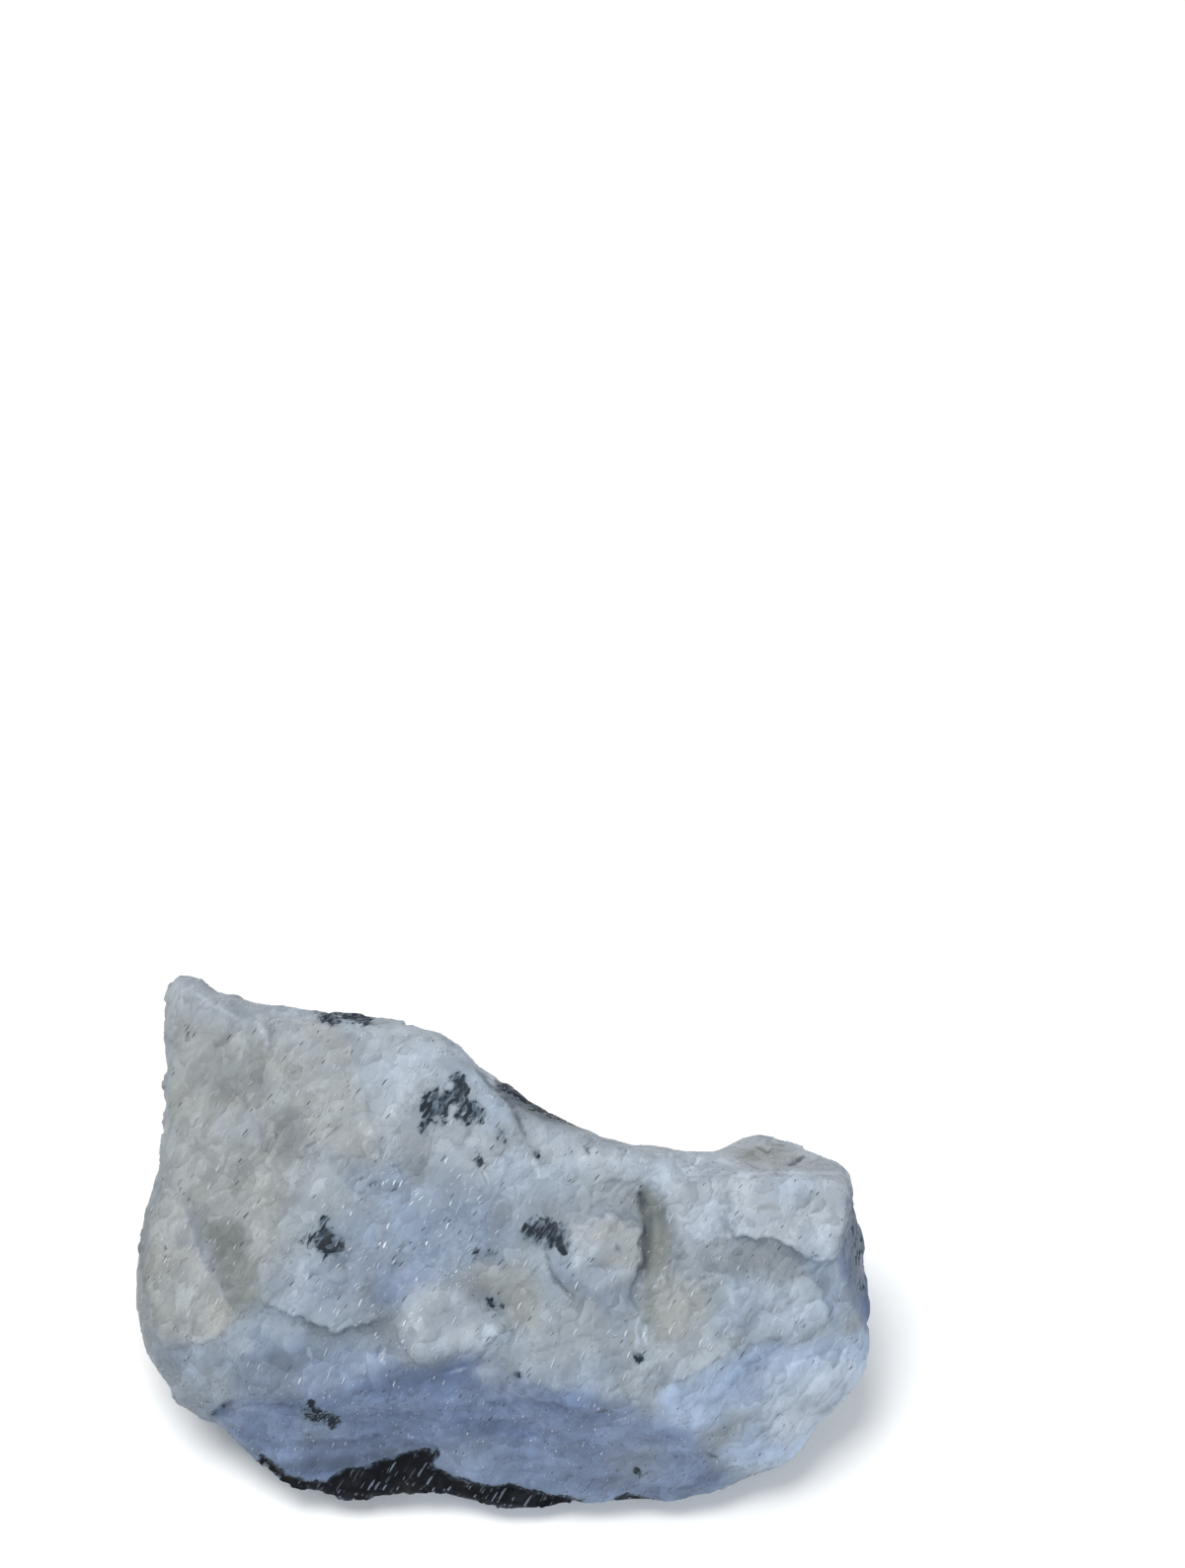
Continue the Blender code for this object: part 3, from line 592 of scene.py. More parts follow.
        (17.4, 30.2), (20, 31.6), (24.4, 31.4), (28.2, 29.8), (29, 28.2), (25, 28.3), (21, 27.9),
        (19.4, 28.8),
    )),
    ("bone", 0.5, 0.8, ((19.4, 30.2), (22, 31), (24, 30.2), (22.4, 28.9), (20, 29.2))),
    # Painted shade in the crease along the pale plate's right edge.
    ("moss", 0.45, 1.2, (
        (-26, 24), (-24.2, 19.4), (-22.6, 16.6), (-20.8, 17.4), (-21.2, 21), (-23.4, 24.4),
    )),
    ("ash", 0.4, 1.5, ((-27, 40.6), (-22.6, 39.4), (-20.4, 36.4), (-24.4, 34.6), (-27.6, 36.4))),
    # This cloud is painted shade on the wall's shoulder; the two slate clouds after it darken patches of
    # the wall under it.
    ("dusk", 0.55, 1.2, WALL_SHOULDER),
    ("slate", 0.40, 1.2, ((-16, 8.4), (-7, 8.6), (-4, 7), (-7.4, 5), (-15.4, 5))),
    ("slate", 0.20, 1.2, ((-6, 11), (1, 10.4), (6, 8.6), (0.8, 7.8), (-5.6, 8.4))),
    # Painted shade above the black edge, where the wall tucks under.
    ("lead", 0.45, 0.6, (
        (-18.8, 3.6), (-14, 4.3), (-10, 4.9), (-8.2, 5.2), (-9, 4.2), (-14, 3), (-18.2, 2.8),
    )),
    ("milk", 0.15, 1.0, ((-19, 19.8), (-15, 20.6), (-11, 18.6), (-12.4, 16.4), (-15.2, 16), (-19, 17.6))),
    ("milk", 0.4, 1.2, ((21, 19), (25.6, 18.6), (26.8, 16.4), (24.8, 14.6), (21.4, 14.8))),
    ("milk", 0.4, 1.0, ((24, 10.8), (29.6, 13.2), (30.4, 10.4), (26.6, 6.4), (22.4, 5.4))),
    ("grey", 0.5, 1.2, ((21.6, 9.4), (25, 11.4), (26.4, 8.8), (23.4, 6.4), (20.8, 6.8))),
    ("milk", 0.45, 0.30, (
        (12.6, 29.3), (12.3, 27.6), (13.6, 26), (14.4, 24.4), (15.6, 22.8), (17.4, 22.8), (18.6, 24),
        (18.8, 27.2), (20.6, 28), (19.6, 28.8), (16, 29.4),
    )),
    ("milk", 0.22, 0.30, (
        (5.9, 23.5), (7.4, 24.4), (9.1, 24.5), (11.3, 24), (11.4, 22.9), (11.2, 21.6), (10.6, 19.6),
        (9.4, 18.6), (7.6, 18.2), (6.2, 19.2), (5.6, 21.4),
    )),
    ("frost", 0.35, 1.0, ((21.8, 7.6), (25.6, 11), (29.4, 13), (30.4, 10.8), (27, 6.4), (23.4, 4.4))),
    ("sky", 0.45, 0.8, ((22.4, 12.4), (26.4, 14.4), (30, 14.2), (30.6, 12.4), (26.4, 11.6), (23.2, 10.4))),
    ("milk", 0.35, 0.4, ((-7.4, 30.4), (-3.8, 31.2), (-0.8, 30.6), (0.4, 28.8), (-3, 28.4), (-6.2, 28.8))),
    ("cool", 0.40, 0.4, ((-13.2, 28.6), (-9.2, 28.8), (-7.4, 26.8), (-10.4, 25.6), (-13.4, 26.6))),
    ("cool", 0.25, 0.4, ((-11.4, 24.4), (-8.4, 24.8), (-6, 23.2), (-7.6, 21.6), (-11, 22.4))),
    ("sky", 0.12, 0.4, ((-9.8, 26.4), (-5.4, 27.2), (-3.4, 25.6), (-6, 24.2), (-9.4, 25))),
    ("ash", 0.35, 0.4, ((3.8, 17.2), (7.2, 17.8), (9.4, 15.8), (7.4, 13.2), (4, 14.4))),
    ("milk", 0.30, 0.4, ((13.6, 12.6), (17.4, 14.8), (19, 13.4), (15.8, 10.9), (13.4, 11.2))),
    ("ash", 0.35, 0.5, ((14.6, 18.8), (18.4, 19.4), (18.8, 17), (16.4, 15.6), (14.2, 16.6))),
    ("milk", 0.30, 0.4, ((-24.6, 33.8), (-21.4, 33.4), (-20.4, 30.8), (-23.2, 30.2), (-25, 31.6))),
    ("moss", 0.25, 0.4, ((-26.8, 38), (-23.4, 38.4), (-22.2, 36.2), (-24.6, 35), (-27, 36))),
    # Painted shade in the crease along the pale plate's right edge.
    ("moss", 0.85, 1.0, (
        (-25.8, 24.2), (-24, 19.4), (-22.4, 16.6), (-20.8, 17.4), (-21, 21), (-23.2, 24.4),
    )),
    ("grey", 0.45, 0.5, ((-2.6, 16.2), (-0.4, 16), (-0.4, 14.2), (-2.4, 14))),
    ("milk", 0.35, 1.0, ((19.6, 10.4), (22.4, 12.8), (28.8, 14.6), (28.8, 12), (23, 10.2))),
    # This cloud and the next are painted shade on the wall's shoulder.
    ("dusk", 0.55, 1.0, WALL_SHOULDER),
    ("moss", 0.35, 1.0, WALL_SHOULDER),
    ("grey", 0.45, 1.0, ((-10, 40.2), (-5, 39.6), (-3.8, 37.4), (-9, 36.6), (-10.6, 38.4))),
    ("cool", 0.30, 1.0, ((3.4, 12.4), (9.4, 12.2), (9.6, 9), (3.6, 9.2))),
    ("ash", 0.65, 0.5, ((7.8, 24), (11, 24), (11, 20.2), (8, 20.2))),
    ("ash", 0.30, 1.4, ((-26.6, 33), (-17.8, 33), (-17.8, 27), (-26.4, 27))),
    ("bone", 0.30, 1.0, ((12.6, 18.8), (17.6, 18.8), (17.4, 14.8), (12.8, 14.4))),
    ("milk", 0.25, 0.4, ((-18.4, 28.4), (-15.4, 29.6), (-13.6, 27.4), (-16, 25.8), (-18.2, 26.4))),
)

# Layers along the low wall: (how much they change the shade, height in mm, softness, outline).
LAYERS = (0.26, 0.12, 1.5, (
    (-24, 8.6), (-16, 11.6), (-7, 12), (0, 11.2), (8, 9.2), (14, 6.6), (18.6, 3), (14, -2), (-12, -2),
    (-26, 4),
))

# Thin veins, frosted edges, and dark lines of painted shade in cracks, along the valley and behind
# the saddle: (tint, strength, half width in mm, line).
VEINS = (
    ("frost", 0.45, 0.12, ((11.4, 16), (11, 15.2), (11.2, 14.2), (11.1, 13.2))),
    ("frost", 0.35, 0.12, ((11.9, 15.4), (11.8, 14.4), (12, 13.6))),
    ("bone", 0.5, 0.16, ((10.6, 15), (10.8, 13.6))),
    ("frost", 0.4, 0.16, ((-16.6, 13.4), (-16.2, 12.2))),
    ("frost", 0.4, 0.14, ((-10, 13.4), (-10.4, 12.4), (-10, 11.9))),
    ("slate", 0.6, 0.16, ((-10.4, 13.6), (-10.8, 12.6))),
    ("frost", 0.25, 0.12, ((-4.4, 11.3), (-3.4, 11.6), (-2.9, 11.5))),
    ("frost", 0.35, 0.18, ((18.9, 18.6), (19.1, 17.4), (19.4, 16.6))),
    ("frost", 0.35, 0.30, ((18.9, 22.7), (19.3, 23.6), (19, 24.6))),
    ("frost", 0.35, 0.22, ((-21, 40.9), (-20.4, 40.1), (-20.1, 39))),
    ("milk", 0.6, 0.45, ((-25.9, 42.6), (-25.3, 42.4))),
    ("milk", 0.5, 0.35, ((-12.4, 40), (-11.6, 39.8))),
    ("frost", 0.5, 0.20, ((-2, 37.8), (-1.3, 37), (-0.9, 36))),
    ("frost", 0.4, 0.18, ((2.4, 29.2), (3, 27.8))),
    ("frost", 0.15, 0.2, ((5.8, 20.2), (6.8, 20.9), (8.4, 22.4))),
    ("frost", 0.3, 0.22, ((25.6, 9.4), (26.8, 11.2), (27.4, 12.6))),
    ("ash", 0.6, 0.18, ((20.8, 25), (22.4, 25.3), (23.2, 25))),
    ("ash", 0.6, 0.2, ((24.5, 26.3), (24.9, 26.2))),
    ("ash", 0.6, 0.2, ((25.8, 26.5), (26.1, 26.3))),
    ("milk", 0.4, 0.30, ((-17, 20.6), (-17.3, 19.4), (-17.7, 17.6))),
    ("lead", 0.5, 0.10, ((-16.9, 30.2), (-15.6, 30.9))),
    ("lead", 0.45, 0.10, ((-15.2, 31), (-13.6, 32.3))),
    ("lead", 0.5, 0.16, ((-17, 30.1), (-16.7, 29.8))),
    ("ash", 0.5, 0.20, ((-27.4, 38.2), (-25, 39.6), (-24, 38.4))),
    ("frost", 0.35, 0.16, ((-26.6, 43.6), (-24.4, 42.2), (-22.6, 41.2))),
    ("frost", 0.35, 0.12, ((19.1, 27.8), (22.6, 28.1), (28.6, 28.1))),
    ("lead", 0.55, 0.10, ((21.2, 30.4), (22.2, 29.8), (22.8, 30.2))),
    ("lead", 0.5, 0.10, ((25.6, 30.3), (26.6, 29.6))),
    ("lead", 0.45, 0.10, ((20.4, 28.9), (21.4, 28.4))),
    # Painted shadow on the back face seen just behind the top edge above the saddle.
    ("lead", 0.85, 0.50, ((-0.6, 35.9), (1, 34.5), (2.3, 33.8), (3.2, 33.3), (5.2, 32.8), (7.4, 32.3))),
    # This line and the next three are painted shade in cracks.
    ("lead", 0.6, 0.14, (
        (-2.6, 37.1), (-1.2, 35.5), (-0.4, 34.8), (0.4, 34), (0.9, 33.3), (1.3, 32.3), (1.8, 31.2),
    )),
    ("lead", 0.45, 0.11, ((3.5, 22.1), (3.7, 20.4), (4, 19.6), (4.4, 18.9), (5.1, 18.2), (5.9, 17.2))),
    ("lead", 0.6, 0.12, SADDLE_NICK),
    ("lead", 0.8, 0.14, VALLEY_SLOT),
    # This line and the next two are painted shade along the valley.
    ("lead", 0.35, 0.35, ((11.6, 26.2), (12.2, 24.6), (12, 22.4), (11.8, 20.6))),
    ("moss", 0.6, 0.30, ((12.8, 25), (13.2, 23.6), (12.8, 21.4))),
    ("moss", 0.5, 0.30, ((12, 19.4), (12.3, 17.4), (12, 15.4))),
    ("frost", 0.4, 0.12, ((13.7, 24.8), (13.9, 23.9))),
    ("frost", 0.4, 0.12, ((13.2, 19.6), (13.5, 18.8))),
    ("lead", 0.6, 0.18, ((9.5, 22.2), (9.6, 21.2))),
    # Painted shade in the crack behind the pale cap.
    ("lead", 0.7, 0.16, ((24, 28.7), (24.5, 28.9), (25.3, 29.5))),
    ("lead", 0.6, 0.14, ((22.8, 28.1), (23.1, 27.9))),
    # Painted shade in the small nick low on the right.
    ("lead", 0.7, 0.14, FOOT_NICK),
    ("lead", 0.6, 0.16, ((7.9, 7.9), (8.8, 8.1))),
    ("lead", 0.7, 0.16, ((-28.9, 22.1), (-28.6, 21.7))),
)

# Black-green mineral grown into the feldspar, and two dark marks of painted shadow painted as it:
# (strength, half width in mm, line).
DARK_GROWTHS_AND_SHADOWS = (
    (0.95, 0.68, ((-3.9, 35.9), (-3.7, 35), (-4.2, 34.5))),
    (0.90, 0.98, ((-5.9, 34.2), (-6.4, 33.3))),
    (0.88, 0.58, ((-5, 34.5), (-5.4, 33.3))),
    (0.85, 0.27, ((-6.6, 32.4), (-7.1, 31.7))),
    (0.80, 0.26, ((-4.9, 33), (-5.3, 32.1))),
    (0.95, 0.72, ((-3.1, 33.8), (-2.4, 33.1))),
    (0.80, 0.50, ((-3.8, 32.9), (-3.1, 32.5))),
    (0.90, 0.26, ((-2.1, 32.9), (-1.8, 32.4))),
    (0.50, 0.60, ((-0.6, 31.7), (-0.2, 30.8))),
    (0.65, 0.22, ((0, 30.9), (0.3, 30.3))),
    (0.90, 0.34, ((-15.2, 24.2), (-15.5, 23.2))),
    (0.92, 1.20, ((-15, 22.4), (-14.3, 22))),
    (0.60, 0.90, ((-16.8, 22.6), (-15.6, 22))),
    (0.50, 0.55, ((-11.1, 27.2), (-9.4, 26.8))),
    (0.95, 1.00, ((2.4, 23.2), (3.6, 23.2), (4.4, 22.6))),
    (0.90, 0.40, ((4.1, 22.4), (5, 21.5))),
    (0.45, 0.75, ((-2.2, 21.4), (-1.3, 21.2))),
    (0.75, 0.45, ((-1.2, 17.2), (-0.9, 17))),
    (0.40, 0.60, ((-0.8, 16.7), (-0.2, 16.8))),
    (0.92, 0.66, ((-16.3, 8), (-15.6, 7.5), (-14.5, 7.2))),
    (0.85, 0.32, ((-16.3, 8.7), (-16.1, 8.2))),
    (0.85, 0.32, ((2.7, 29.8), (2.9, 29.5))),
    (0.60, 0.50, ((-2.3, 29.2), (-2.1, 29))),
    (0.90, 0.60, ((-15.3, 41.4), (-14.4, 41.2))),
    (0.90, 0.50, ((-13.6, 41.6), (-13.1, 41.4))),
    (0.90, 0.55, ((-12.8, 41.3), (-11.6, 41.1))),
    (0.85, 0.34, ((11.1, 12.8), (11.3, 12.4))),
    (0.85, 0.30, ((11.2, 3.1), (11.4, 2.6))),
    (0.75, 0.26, ((1, 11.2), (1.2, 10.9))),
    (0.50, 0.80, ((29.6, 25), (29.9, 22), (30.6, 18.4))),
    # A dark mark of painted shadow in the notch at the lower left.
    (0.60, 0.16, ((-24.8, 7.6), (-23.6, 8.4))),
    # A dark mark of painted shadow on the back face seen just behind the top edge above the saddle.
    (0.88, 0.50, ((0, 35.4), (2.2, 34), (4.6, 33), (6.6, 32.5))),
)
DARK_EDGES = (
    (
        (-20.6, 4.4), (-19.8, 4), (-19.1, 3.3), (-18.3, 2.7), (-17.3, 2.3), (-16.2, 2.1), (-15, 2.1),
        (-14.3, 2.6), (-13.3, 3.2), (-12.6, 3.1), (-11.8, 3.2), (-10.4, 3.8), (-8.9, 4.3), (-7.9, 4.6),
        (-6.7, 4.8), (-5.7, 4.8), (-5.5, 4.2), (-6.1, 3.5), (-5.9, 3.2), (-4.8, 2.8), (-4.3, 2.4),
        (-3.6, 2.3), (-2.9, 2), (-1.7, 1.8), (-0.6, 1.7), (0.4, 1.9), (1.2, 1.6), (2, 1.4), (3.2, 1.1),
        (4.8, 0.8), (6.6, 0.3), (6, -4), (-12, -4), (-20, -1), (-22, 2),
    ),
    ((9, -0.2), (9.4, 0.7), (10.6, 1), (11.6, 0.9), (12.8, 0.3), (12.6, -2), (9, -2)),
)

# Where the painted glints are brightest, over a faint glitter: (strength, softness in mm, outline).
FAINT_GLITTER = 0.30
GLITTER = (
    (0.9, 3.0, ((-19, 21), (-12, 29), (-2, 31), (2, 24), (-2, 19), (-6, 13), (-13, 13))),
    (0.5, 2.0, ((-24, 12), (-4, 12), (12, 9), (18, 5), (4, 2), (-20, 4))),
    (0.6, 1.5, ((0, 17), (12, 24), (20, 20), (20, 13), (8, 11))),
    (0.5, 1.5, ((20, 9), (30, 14), (30, 10), (24, 5))),
    (0.5, 1.5, ((-31, 15), (-29, 26), (-23, 24), (-22, 15))),
)

# The hidden side: (tint or "dark", strength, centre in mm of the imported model, radius in mm).
FAR_CLOUDS = (
    ("cool", 0.6, (-14.0, 14.0, 12.0), 12.0),
    ("dusk", 0.6, (18.0, 10.0, 8.0), 11.0),
    ("ash", 0.6, (-26.0, 4.0, 6.0), 10.0),
    ("milk", 0.5, (4.0, 12.0, 18.0), 11.0),
    ("bone", 0.5, (-6.0, 16.0, 4.0), 9.0),
    ("slate", 0.5, (26.0, 2.0, 4.0), 8.0),
    ("moss", 0.5, (10.0, 10.0, 9.0), 5.0),
    ("dark", 0.9, (-9.0, 17.0, 9.0), 3.0),
    ("dark", 0.8, (-5.5, 16.0, 12.5), 2.0),
    ("dark", 0.7, (16.0, 9.0, 13.0), 2.4),
    ("dark", 0.8, (22.0, 4.0, 3.4), 3.0),
    ("dark", 0.9, (-12.0, -17.0, 2.0), 5.0),
    ("dark", 0.7, (-24.0, -3.0, 4.6), 2.6),
)


# How much the painted shade along ledges and plates takes from red, green and blue, and the painted
# highlight gives to them, how far the painted shade reaches in mm at the foot and the painted
# highlight at the lip, and how warmth changes the three colours.
PAINTED_SHADE_AND_HIGHLIGHT_TINT = np.array((1.10, 1.0, 0.80))
PAINTED_SHADE_REACH = 0.8
PAINTED_HIGHLIGHT_REACH = 0.5
WARMTH_TINT = np.array((0.5, 0.0, -0.7))


def blend(colour, name, weight):
    """Moves the colour of each point towards a tint, by its weight."""
    colour += (np.array(TINTS[name]) - colour) * weight[:, None]


def paint_far_side(colour, points, sight, broad, fine):
    """Tints the hidden side, and gives how dark its mineral makes each point."""
    far = 1 - sight.tinted
    dark = np.zeros(len(points))
    for name, strength, centre, radius in FAR_CLOUDS:
        distance = np.linalg.norm(points / MM - np.array(centre), axis=1) + 2 * broad + fine
        weight = strength * (1 - ramp(0.55 * radius, radius, distance))
        if name == "dark":
            dark = np.maximum(dark, weight * far)
        else:
            blend(colour, name, weight * far)
    return dark


def paint_clouds(colour, sight, broad, fine):
    """Lays the clouds over each other, with edges that wander more where they are soft."""
    for name, strength, softness, outline in CLOUDS:
        edge = sight.inside(outline) + (broad * 0.6 + fine * 0.5) * min(softness, 1.2)
        blend(colour, name, strength * ramp(-softness, softness, edge) * sight.tinted)


def paint_drifts(colour, points, shade, sight):
    """Slow changes of brightness and warmth, the grains' shades and the low wall's layers."""
    veil = waver(points, 5.0, 0.16, Vector((8, 2, 2))) + waver(points, 1.9, 0.10, Vector((1, 9, 5)))
    warmth = waver(points, 3.2, 0.06, Vector((5, 5, 1))) + 0.10 * shade
    contrast, _, softness, outline = LAYERS
    inner = ramp(-softness, softness, sight.inside(outline))
    layers = contrast * wall_layers(points) * inner * sight.tinted
    colour *= (1 + veil + shade + 0.6 * layers)[:, None]
    colour *= 1 + warmth[:, None] * WARMTH_TINT


def paint_step_shade_and_highlight(colour, above, distance, foot, lip, share):
    """Paints shade at the foot of a step and a highlight on its lip. above is negative at the foot."""
    foot = foot * np.exp(-distance / PAINTED_SHADE_REACH) * ramp(-0.05, 0.15, -above)
    lip = lip * np.exp(-distance / PAINTED_HIGHLIGHT_REACH) * ramp(-0.05, 0.15, above)
    colour *= 1 - ((foot - lip) * share)[:, None] * PAINTED_SHADE_AND_HIGHLIGHT_TINT


def paint_edge_shade_and_highlight(colour, sight, fine):
    """Paints shade and highlights at the steps of the ledges and round the plates."""
    for _, _, dim, line in LEDGES:
        distance, side, to_end = sight.to_line(line)
        ends = ramp(0, 1.2, to_end) * sight.seen
        paint_step_shade_and_highlight(colour, side * distance + fine, distance, dim, 0.5 * dim, ends)
    for height, outline in PLATES:
        inner = sight.inside(outline) + fine
        paint_step_shade_and_highlight(colour, inner, np.abs(inner), 0.8 * height, 0.4 * height, sight.seen)


def paint_veins(colour, sight, fine):
    """Draws the veins, thinner towards their ends."""
    for name, strength, width, line in VEINS:
        distance, _, to_end = sight.to_line(line)
        taper = width * (0.4 + 0.6 * ramp(0, 0.6, to_end))
        fade = 1 - ramp(0.6 * taper, 1.8 * taper, distance + 0.15 * fine)
        blend(colour, name, strength * fade * sight.seen)


def grow_mineral_and_shadows(dark, sight, fine):
    """Adds the growths, painted shadow marks and edges of the near side to how dark each point is."""
    for strength, width, line in DARK_GROWTHS_AND_SHADOWS:
        distance, _, _ = sight.to_line(line)
        weight = strength * (1 - ramp(0, 2.1 * width, distance + 0.4 * fine))
        dark = np.maximum(dark, weight * sight.seen)
    for outline in DARK_EDGES:
        edge = ramp(-0.35, 0.25, sight.inside(outline) + 0.4 * fine)
        dark = np.maximum(dark, edge * sight.seen)
    return dark


def tint(piece, shade):
    """Stores on the fine copy's points their tint, how dark they are and how much they glitter."""
    mesh = piece.data
    points, normals = read_points_and_normals(mesh)
    sight = Sight(points, normals)
    broad = waver(points, 2.6, 1.3, Vector((4, 1, 9)))
    fine = waver(points, *JAG)
    colour = np.tile(np.array(TINTS["grey"]), (len(points), 1))
    dark = paint_far_side(colour, points, sight, broad, fine)
    paint_clouds(colour, sight, broad, fine)
    paint_drifts(colour, points, shade, sight)
    paint_edge_shade_and_highlight(colour, sight, fine)
    paint_veins(colour, sight, fine)
    dark = grow_mineral_and_shadows(dark, sight, fine)
    glitter = np.full(len(points), FAINT_GLITTER)
    for strength, softness, outline in GLITTER:
        glitter = np.maximum(glitter, strength * ramp(-softness, softness, sight.inside(outline)))
    store = mesh.attributes.new("tint", "FLOAT_COLOR", "POINT")
    store.data.foreach_set("color", np.hstack([colour, np.ones((len(points), 1))]).ravel())
    for name, values in (("dark", dark), ("glitter", glitter)):
        mesh.attributes.new(name, "FLOAT", "POINT").data.foreach_set("value", values)


# Material

class Shader:
    """Small helper to lay out a material's nodes."""

    def __init__(self, name):
        self.material = bpy.data.materials.new(name)
        self.material.use_nodes = True
        self.tree = self.material.node_tree
        self.surface = self.tree.nodes["Principled BSDF"]
        self.object_space = self.add("ShaderNodeTexCoord").outputs["Object"]

    def add(self, kind, settings=None, **inputs):
        made = self.tree.nodes.new(kind)
        for key, value in (settings or {}).items():
            setattr(made, key, value)
        for key, value in inputs.items():
            self.feed(made.inputs[key.replace("_", " ")], value)
        return made

    def feed(self, socket, value):
        if isinstance(value, bpy.types.NodeSocket):
            self.tree.links.new(value, socket)
        else:
            socket.default_value = value

    def stretch(self, length, width, offset=(0, 0, 0), lean=0.0, space=None):
        """Coordinates in units of a grain that long and wide, turned to the grain's lean."""
        turned = GRAIN_FRAME @ Matrix.Rotation(math.radians(lean), 3, "Z")
        made = self.add(
            "ShaderNodeMapping",
            {"vector_type": "TEXTURE"},
            Vector=space or self.object_space,
            Location=Vector(offset) * MM,
            Rotation=turned.to_euler(),
            Scale=(length * MM, width * MM, width * MM),
        )
        return made.outputs["Vector"]

    def math(self, operation, first, second, third=0.0):
        made = self.add("ShaderNodeMath", {"operation": operation})
        for socket, value in zip(made.inputs, (first, second, third)):
            self.feed(socket, value)
        return made.outputs["Value"]

    def spread(self, value, low, high, to_low=0.0, to_high=1.0):
        made = self.add(
            "ShaderNodeMapRange",
            {"interpolation_type": "SMOOTHSTEP"},
            Value=value,
            From_Min=low,
            From_Max=high,
            To_Min=to_low,
            To_Max=to_high,
        )
        return made.outputs["Result"]

    def noise(self, space, detail=2.0, roughness=0.5):
        made = self.add(
            "ShaderNodeTexNoise", Vector=space, Scale=1.0, Detail=detail, Roughness=roughness
        )
        return made.outputs["Fac"]

    def cells(self, space):
        """Random cells: distance and place from a cell's middle, and three random numbers."""
        made = self.add("ShaderNodeTexVoronoi", Vector=space, Scale=1.0)
        picks = self.add("ShaderNodeSeparateColor", Color=made.outputs["Color"]).outputs
        local = self.add("ShaderNodeVectorMath", {"operation": "SUBTRACT"})
        self.feed(local.inputs[0], space)
        self.feed(local.inputs[1], made.outputs["Position"])
        return made.outputs["Distance"], local.outputs[0], picks

    def flakes(self, space):
        """Overlapping flakes: each one's shade, and its slope from one edge to the other."""
        _, local, picks = self.cells(space)
        slope = self.add("ShaderNodeVectorMath", {"operation": "DOT_PRODUCT"})
        self.feed(slope.inputs[0], local)
        slope.inputs[1].default_value = (0.7, 1.0, 0.4)
        tilt = self.math("MULTIPLY_ADD", picks["Green"], 1.4, -0.4)
        return picks["Red"], self.math("MULTIPLY", slope.outputs["Value"], tilt)

    def strokes(self, space, share, size, edge):
        """Lean spots in a share of the cells, light along one side and dim along the other."""
        distance, local, picks = self.cells(space)
        spot = self.spread(picks["Red"], 1 - share, 1.0, 0.0, size)
        spot = self.spread(self.math("SUBTRACT", spot, distance), 0.0, edge)
        side = self.add("ShaderNodeSeparateXYZ", Vector=local).outputs["Y"]
        light = self.math("MULTIPLY", spot, self.spread(side, -0.06, 0.02))
        dim = self.math("MULTIPLY", spot, self.spread(side, 0.02, -0.10))
        return light, dim, picks["Green"]

    def mix(self, factor, first, second):
        made = self.add("ShaderNodeMix", {"data_type": "RGBA"})
        self.feed(made.inputs[0], factor)
        self.feed(made.inputs[6], first)
        self.feed(made.inputs[7], second)
        return made.outputs[2]

    def brighten(self, colour, value):
        """Multiplies a colour by a number."""
        made = self.add("ShaderNodeVectorMath", {"operation": "SCALE"})
        self.feed(made.inputs[0], colour)
        self.feed(made.inputs["Scale"], value)
        return made.outputs[0]


# How far apart and how far the edges of flakes wander, in mm.
WANDER_SIZE = 2.2
WANDER_REACH = 2.0

# Flakes, pits, ragged edges and hairs: (length, width and offset in mm, lean in degrees).
BROAD_FLAKES = (4.4, 2.6, (1, 6, 3), 12)
SMALL_FLAKES = (1.9, 1.0, (5, 2, 7), -6)
CHIPS = (0.85, 0.42, (3, 9, 1), 5)
CHIP_DRIFT = (5.0, 3.0, (2, 2, 8))
PITS = (1.8, 0.42, (2, 3, 7), -8)
RAGGED_EDGES = (1.0, 0.50, (5, 5, 5))
HAIRS = (2.4, 0.36, (6, 2, 8), 0)

# Large painted glints and small ones: (grain as above, share of the cells, size and edge of a spot,
# how the glow spreads over the spots, how much painted shade the dim side takes, tint).
GLINTS = (
    ((1.7, 0.46, (4, 8, 2), 8), (0.8, 0.34, 0.12), (0.25, 1.0, 0.20, 0.95), -0.28, (0.74, 0.79, 0.86, 1)),
    ((0.90, 0.28, (6, 1, 7), -14), (0.9, 0.40, 0.14), (0.2, 1.0, 0.10, 0.65), -0.18, (0.64, 0.69, 0.77, 1)),
)

PIT_TINT = (0.035, 0.038, 0.040, 1)
HALO_TINT = (0.120, 0.155, 0.190, 1)
HAIR_TINT = (0.16, 0.19, 0.24, 1)

# The mineral at a growth's rim and in its middle, and the two shades of the solid black edge.
RIM_TINT = (0.068, 0.094, 0.125, 1)
CORE_TINT = (0.003, 0.006, 0.012, 1)
BLACK_TINTS = ((0.0008, 0.0012, 0.0025, 1), (0.0040, 0.0055, 0.0095, 1))


